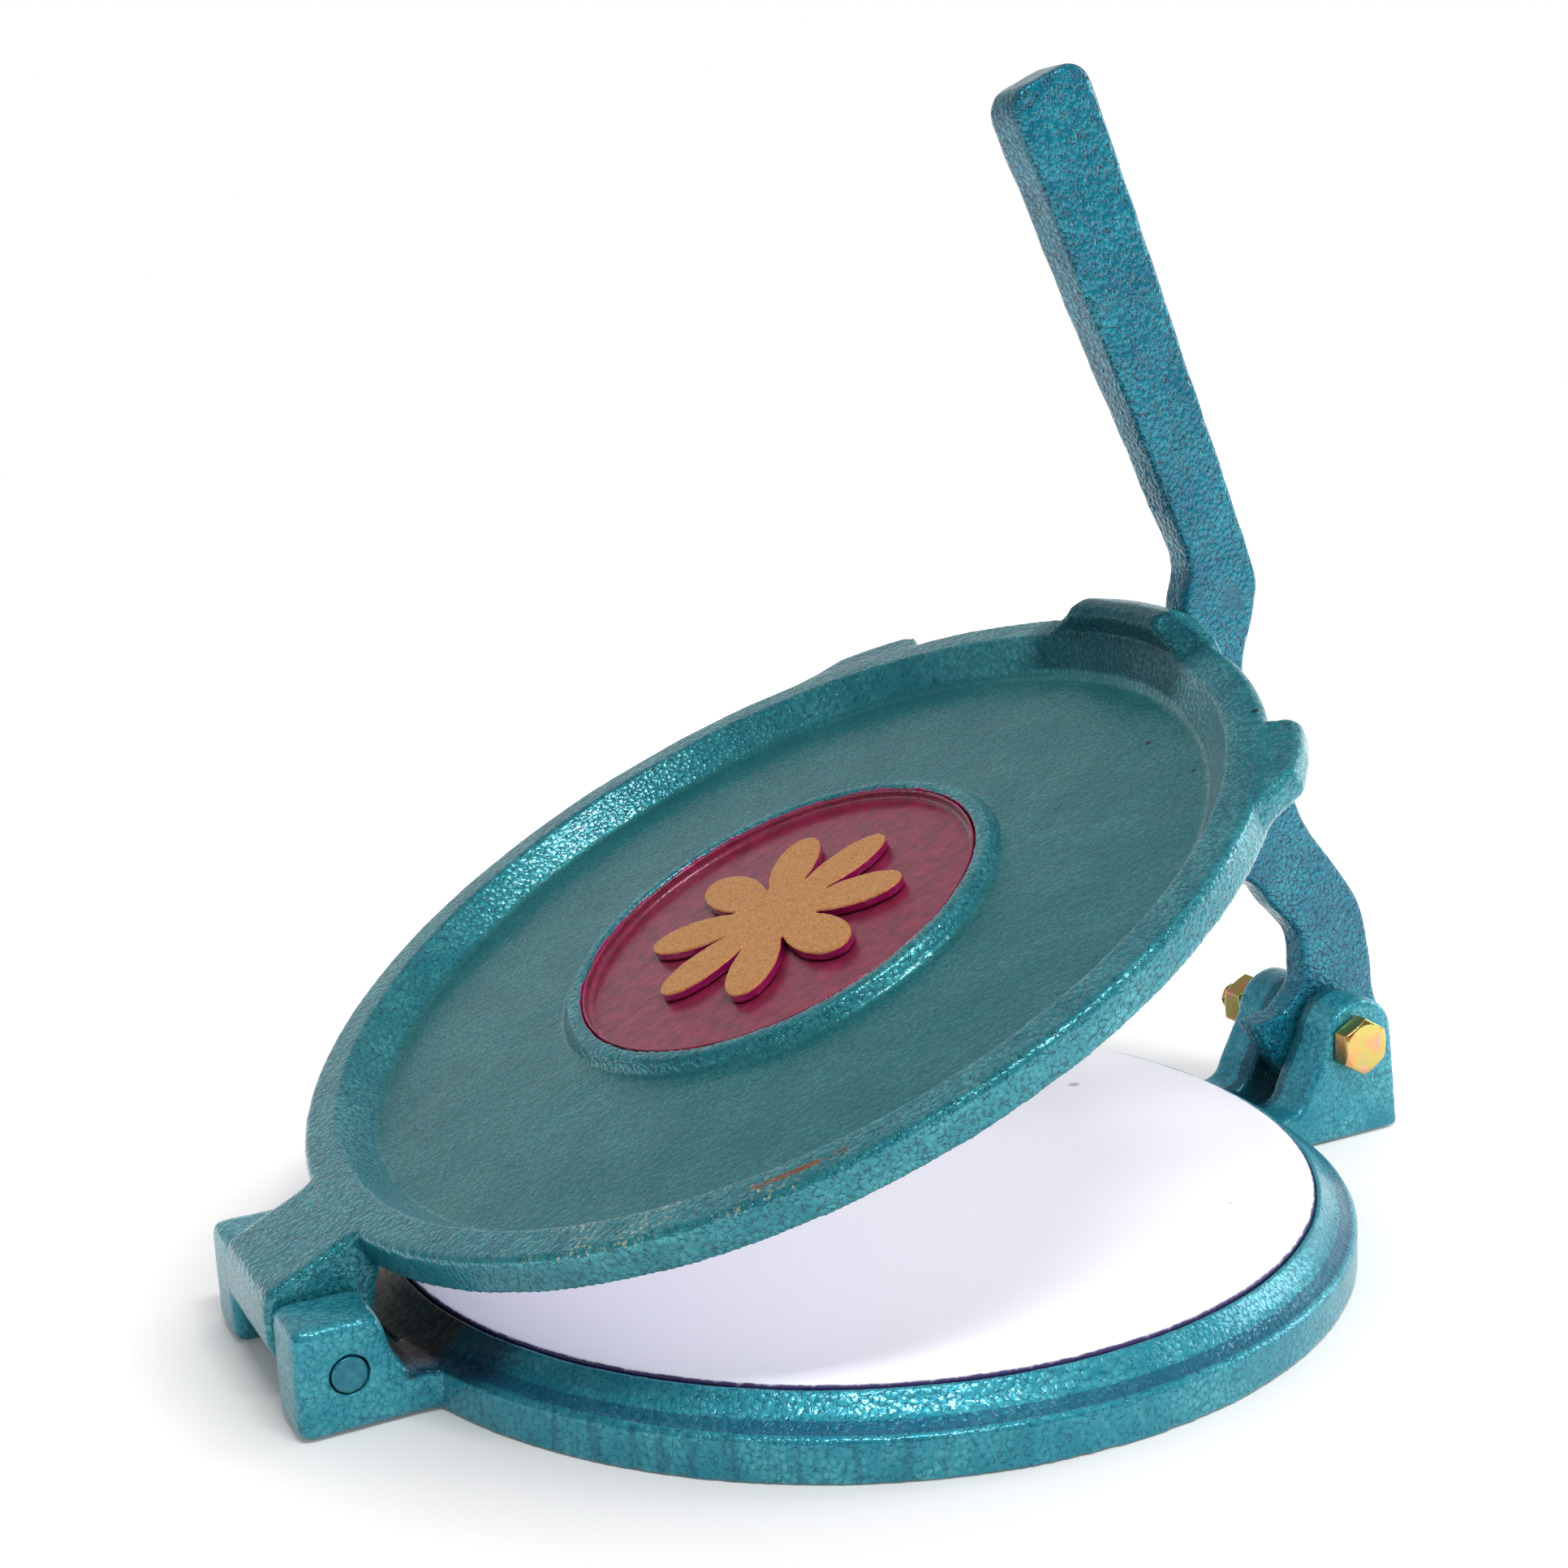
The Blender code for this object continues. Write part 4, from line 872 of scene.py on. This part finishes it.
def face_paint():
    """White satin, with a lavender painted shade towards the hinge and a purple painted shade line at the
    rim.
    """
    material, tree, shader = new_material("face_coating")
    place = own_place(tree)
    x = sides_of(tree, place)["X"]
    reach = reach_of(tree, place)
    # Painted shade: lavender towards the hinge.
    colour = mix_colour(tree, ramp(tree, x, *SHADE_LAVENDER_ALONG, 1.0, 0.0), FACE_WHITE, FACE_SHADE_LAVENDER)
    rough_edge = maths(tree, "MULTIPLY", grain(tree, place, 400.0, 3.0, 0.7), 0.7 * MM)
    ragged = maths(tree, "ADD", reach, rough_edge)
    # Painted shade: a dark purple line at the rim of the disc.
    rim = ramp(tree, ragged, FACE_RADIUS - 0.15 * MM, FACE_RADIUS + 0.25 * MM)
    lined = mix_colour(tree, rim, colour, RIM_SHADE_PURPLE)
    speck = ramp(tree, grain(tree, place, 160.0, 1.0, 0.4), 0.77, 0.79, 0.0, 0.5)
    tree.links.new(mix_colour(tree, speck, lined, SPECK_GREY), shader.inputs["Base Color"])
    tree.links.new(relief(tree, grain(tree, place, 900.0), 0.02 * MM, 0.3), shader.inputs["Normal"])
    set_values(shader, Roughness=0.42)
    return material


FACE_PAINT = face_paint()
for node, body, axes in (("press_face_lower", "base", BASE_AXES), ("press_face_upper", "plate", PLATE_FACE)):
    face_mesh = skin(node, FACE_VOXEL, ((2, everywhere),), axes, NO_WAVES)
    dress(node + "_coated", face_mesh, FACE_PAINT, node, body)

# %% [markdown]
# ## Badge
#
# The floor of the badge is crimson enamel laid thickly by hand. The rosette on it is gilt on top,
# and the enamel has run up its sides. The rosette has one material, in which a ragged mask on the height
# parts the gilt from the enamel. Two materials would meet along the edges of its faces instead.

# %% Badge
CRIMSON, PALE_CRIMSON, DARK_CRIMSON = rgb(118, 30, 58), rgb(150, 34, 76), rgb(60, 14, 36)
MAGENTA = rgb(168, 22, 104)
GILT, PALE_GILT, EDGE_GILT = rgb(190, 124, 70), rgb(222, 166, 104), rgb(190, 92, 34)
ROSETTE_WAVES = ((2.4 * MM, 0.10 * MM),)
plate_turn, plate_middle = np.array(PLATE_FACE.to_3x3()), np.array(PLATE_FACE.translation)
rosette_corners = (corners_of("badge_rosette") - plate_middle) @ plate_turn
ROSETTE_TOP = float(rosette_corners[:, 2].max())
print("the rosette's top is", round(ROSETTE_TOP / MM, 2), "mm over the middle of the upper press face")


def crimson_paint():
    """Thick crimson enamel with a skin like orange peel."""
    material, tree, shader = new_material("badge_enamel")
    place = own_place(tree)
    mottle = ramp(tree, grain(tree, place, 300.0, 4.0, 0.7), 0.35, 0.65)
    colour = mix_colour(tree, mottle, CRIMSON, PALE_CRIMSON)
    fleck = ramp(tree, grain(tree, place, 1900.0, 2.0, 0.7), 0.60, 0.70, 0.0, 0.5)
    tree.links.new(mix_colour(tree, fleck, colour, DARK_CRIMSON), shader.inputs["Base Color"])
    fine_peel = maths(tree, "MULTIPLY", grain(tree, place, 1500.0), 0.4)
    peel = maths(tree, "ADD", grain(tree, place, 420.0, 2.0, 0.5), fine_peel)
    bumpy = relief(tree, peel, 0.16 * MM, 0.7)
    for label in ("Normal", "Coat Normal"):
        tree.links.new(bumpy, shader.inputs[label])
    set_values(shader, Roughness=0.42, Metallic=0.15, Coat_Weight=0.5, Coat_Roughness=0.08)
    return material


def gilt_paint():
    """Grainy gilt on top, glossy magenta on the sides."""
    material, tree, shader = new_material("badge_gilt")
    place = own_place(tree)
    z = sides_of(tree, place)["Z"]
    rough_edge = maths(tree, "MULTIPLY", grain(tree, place, 700.0, 3.0, 0.7), 0.5 * MM)
    ragged = maths(tree, "ADD", z, rough_edge)
    top = ramp(tree, ragged, ROSETTE_TOP - 0.22 * MM, ROSETTE_TOP + 0.06 * MM)
    fine = grain(tree, place, 2600.0, 3.0, 0.7)
    gilt = mix_colour(tree, ramp(tree, fine, 0.35, 0.65), GILT, PALE_GILT)
    # The gilt turns darker orange on sharp edges.
    edge = ramp(tree, put(tree, "ShaderNodeNewGeometry").outputs["Pointiness"], 0.51, 0.56, 0.0, 0.6)
    gilt = mix_colour(tree, edge, gilt, EDGE_GILT)
    tree.links.new(mix_colour(tree, top, MAGENTA, gilt), shader.inputs["Base Color"])
    tree.links.new(ramp(tree, top, 0.0, 1.0, 0.2, 0.5), shader.inputs["Roughness"])
    tree.links.new(ramp(tree, top, 0.0, 1.0, 0.9, 0.0), shader.inputs["Coat Weight"])
    lumps = maths(tree, "ADD", grain(tree, place, 900.0, 3.0, 0.6), maths(tree, "MULTIPLY", fine, 0.3))
    tree.links.new(relief(tree, lumps, 0.14 * MM, 0.8), shader.inputs["Normal"])
    set_values(shader, Metallic=0.35, Coat_Roughness=0.08)
    return material


floor_mesh = skin("badge_floor", 0.3 * MM, ((1, everywhere),), PLATE_FACE, NO_WAVES)
dress("badge_floor_enamelled", floor_mesh, crimson_paint(), "badge_floor", "plate")
rosette_mesh = skin("badge_rosette", 0.22 * MM, ((4, everywhere),), PLATE_FACE, ROSETTE_WAVES)
dress("rosette_gilded", rosette_mesh, gilt_paint(), "badge_rosette", "plate")

# %% [markdown]
# ## The shapes of the bolt and the nut
#
# A cone cuts the corners of both hexagons, and the bolt's free end carries its thread. Both are formulas
# that move the points of a fine skin, which is simpler here than cutting one solid with another.

# %% The shapes of the bolt and the nut
HEX_FLATS = 11.1 * MM
CHAMFER_START = 0.97
CHAMFER_SLOPE = math.tan(math.radians(30))
THREAD_RADIUS = 3.175 * MM
THREAD_PITCH = 1.27 * MM
THREAD_DEPTH = 0.45 * MM
THREAD_LENGTH = 9 * MM
THREAD_CORE = 0.9
PIVOT = Matrix.Translation((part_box("pivot_bolt")[0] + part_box("pivot_bolt")[1]) / 2)
print("pivot", [round(value / MM, 2) for value in PIVOT.translation])


def cut_corners(local, face, sign):
    """Points of a hexagon kept under a cone, whose axis is Y and which starts at the end face."""
    reach = np.hypot(local[:, 0], local[:, 2])
    drop = np.maximum(reach - HEX_FLATS / 2 * CHAMFER_START, 0.0) * CHAMFER_SLOPE
    moved = local.copy()
    limit = face - sign * drop
    near = np.abs(local[:, 1] - face) < 2 * MM
    moved[:, 1] = np.where(near, np.minimum(local[:, 1] * sign, limit * sign) * sign, local[:, 1])
    return moved


def bolt_shape(local):
    """The chamfer of the bolt's head and the thread of its free end."""
    moved = cut_corners(local, local[:, 1].min(), -1)
    reach = np.hypot(moved[:, 0], moved[:, 2])
    turn = np.arctan2(moved[:, 2], moved[:, 0]) / math.tau
    phase = np.mod(moved[:, 1] / THREAD_PITCH + turn, 1.0)
    depth = np.abs(2 * phase - 1) * THREAD_DEPTH
    end = local[:, 1].max()
    core = THREAD_RADIUS * THREAD_CORE
    threaded = (moved[:, 1] > end - THREAD_LENGTH) & (moved[:, 1] < end - 0.1 * MM) & (reach > core)
    factor = np.where(threaded, (THREAD_RADIUS - depth) / np.maximum(reach, core), 1.0)
    moved[:, 0] *= factor
    moved[:, 2] *= factor
    return moved


def nut_shape(local):
    """The chamfer of the nut's outer side."""
    return cut_corners(local, local[:, 1].max(), 1)

# %% [markdown]
# ## Pin, bolt and nut
#
# The pin was painted over with the castings. The bolt and the nut are zinc plated and passivated yellow,
# which leaves faint green and rose zones. A fully metallic shader shows the room in them,
# and slow noises place the zones.

# %% Pin, bolt and nut
PIN_TEALS = rgb(26, 112, 134), rgb(4, 26, 46), rgb(60, 140, 155)
ZINC_AMBER, ZINC_GREEN, ZINC_ROSE = rgb(214, 160, 104), rgb(188, 176, 100), rgb(214, 150, 146)
FASTENER_VOXEL = 0.2 * MM


def zinc_paint():
    """Zinc plate with a yellow passivation, green and rose in places."""
    material, tree, shader = new_material("yellow_zinc")
    place = own_place(tree)
    drift = grain(tree, place, 210.0, 2.0, 0.5)
    warm = mix_colour(tree, ramp(tree, drift, 0.40, 0.60), ZINC_AMBER, ZINC_GREEN)
    rosy = ramp(tree, grain(tree, place, 330.0, 1.0), 0.58, 0.72, 0.0, 0.7)
    tree.links.new(mix_colour(tree, rosy, warm, ZINC_ROSE), shader.inputs["Base Color"])
    tree.links.new(relief(tree, grain(tree, place, 700.0, 2.0), 0.05 * MM, 0.6), shader.inputs["Normal"])
    set_values(shader, Metallic=1.0, Roughness=0.24)
    return material


def pin_paint():
    """The castings' enamel on the pin."""
    material, tree, layers = enamel("pin_enamel", 700.0, 0.15, 0.1, *PIN_TEALS)
    close_paint(tree, layers, 0.5)
    return material


ZINC = zinc_paint()
pin_mesh = skin("hinge_pin", 0.3 * MM, ((1, everywhere),), BASE_AXES, NO_WAVES)
dress("pin_painted", pin_mesh, pin_paint(), "hinge_pin", "pin")
bolt_mesh = skin("pivot_bolt", FASTENER_VOXEL, ((2, everywhere),), PIVOT, NO_WAVES, bolt_shape)
dress("bolt_plated", bolt_mesh, ZINC, "pivot_bolt", "base")
nut_mesh = skin("pivot_nut", FASTENER_VOXEL, ((2, everywhere),), PIVOT, NO_WAVES, nut_shape)
dress("nut_plated", nut_mesh, ZINC, "pivot_nut", "base")
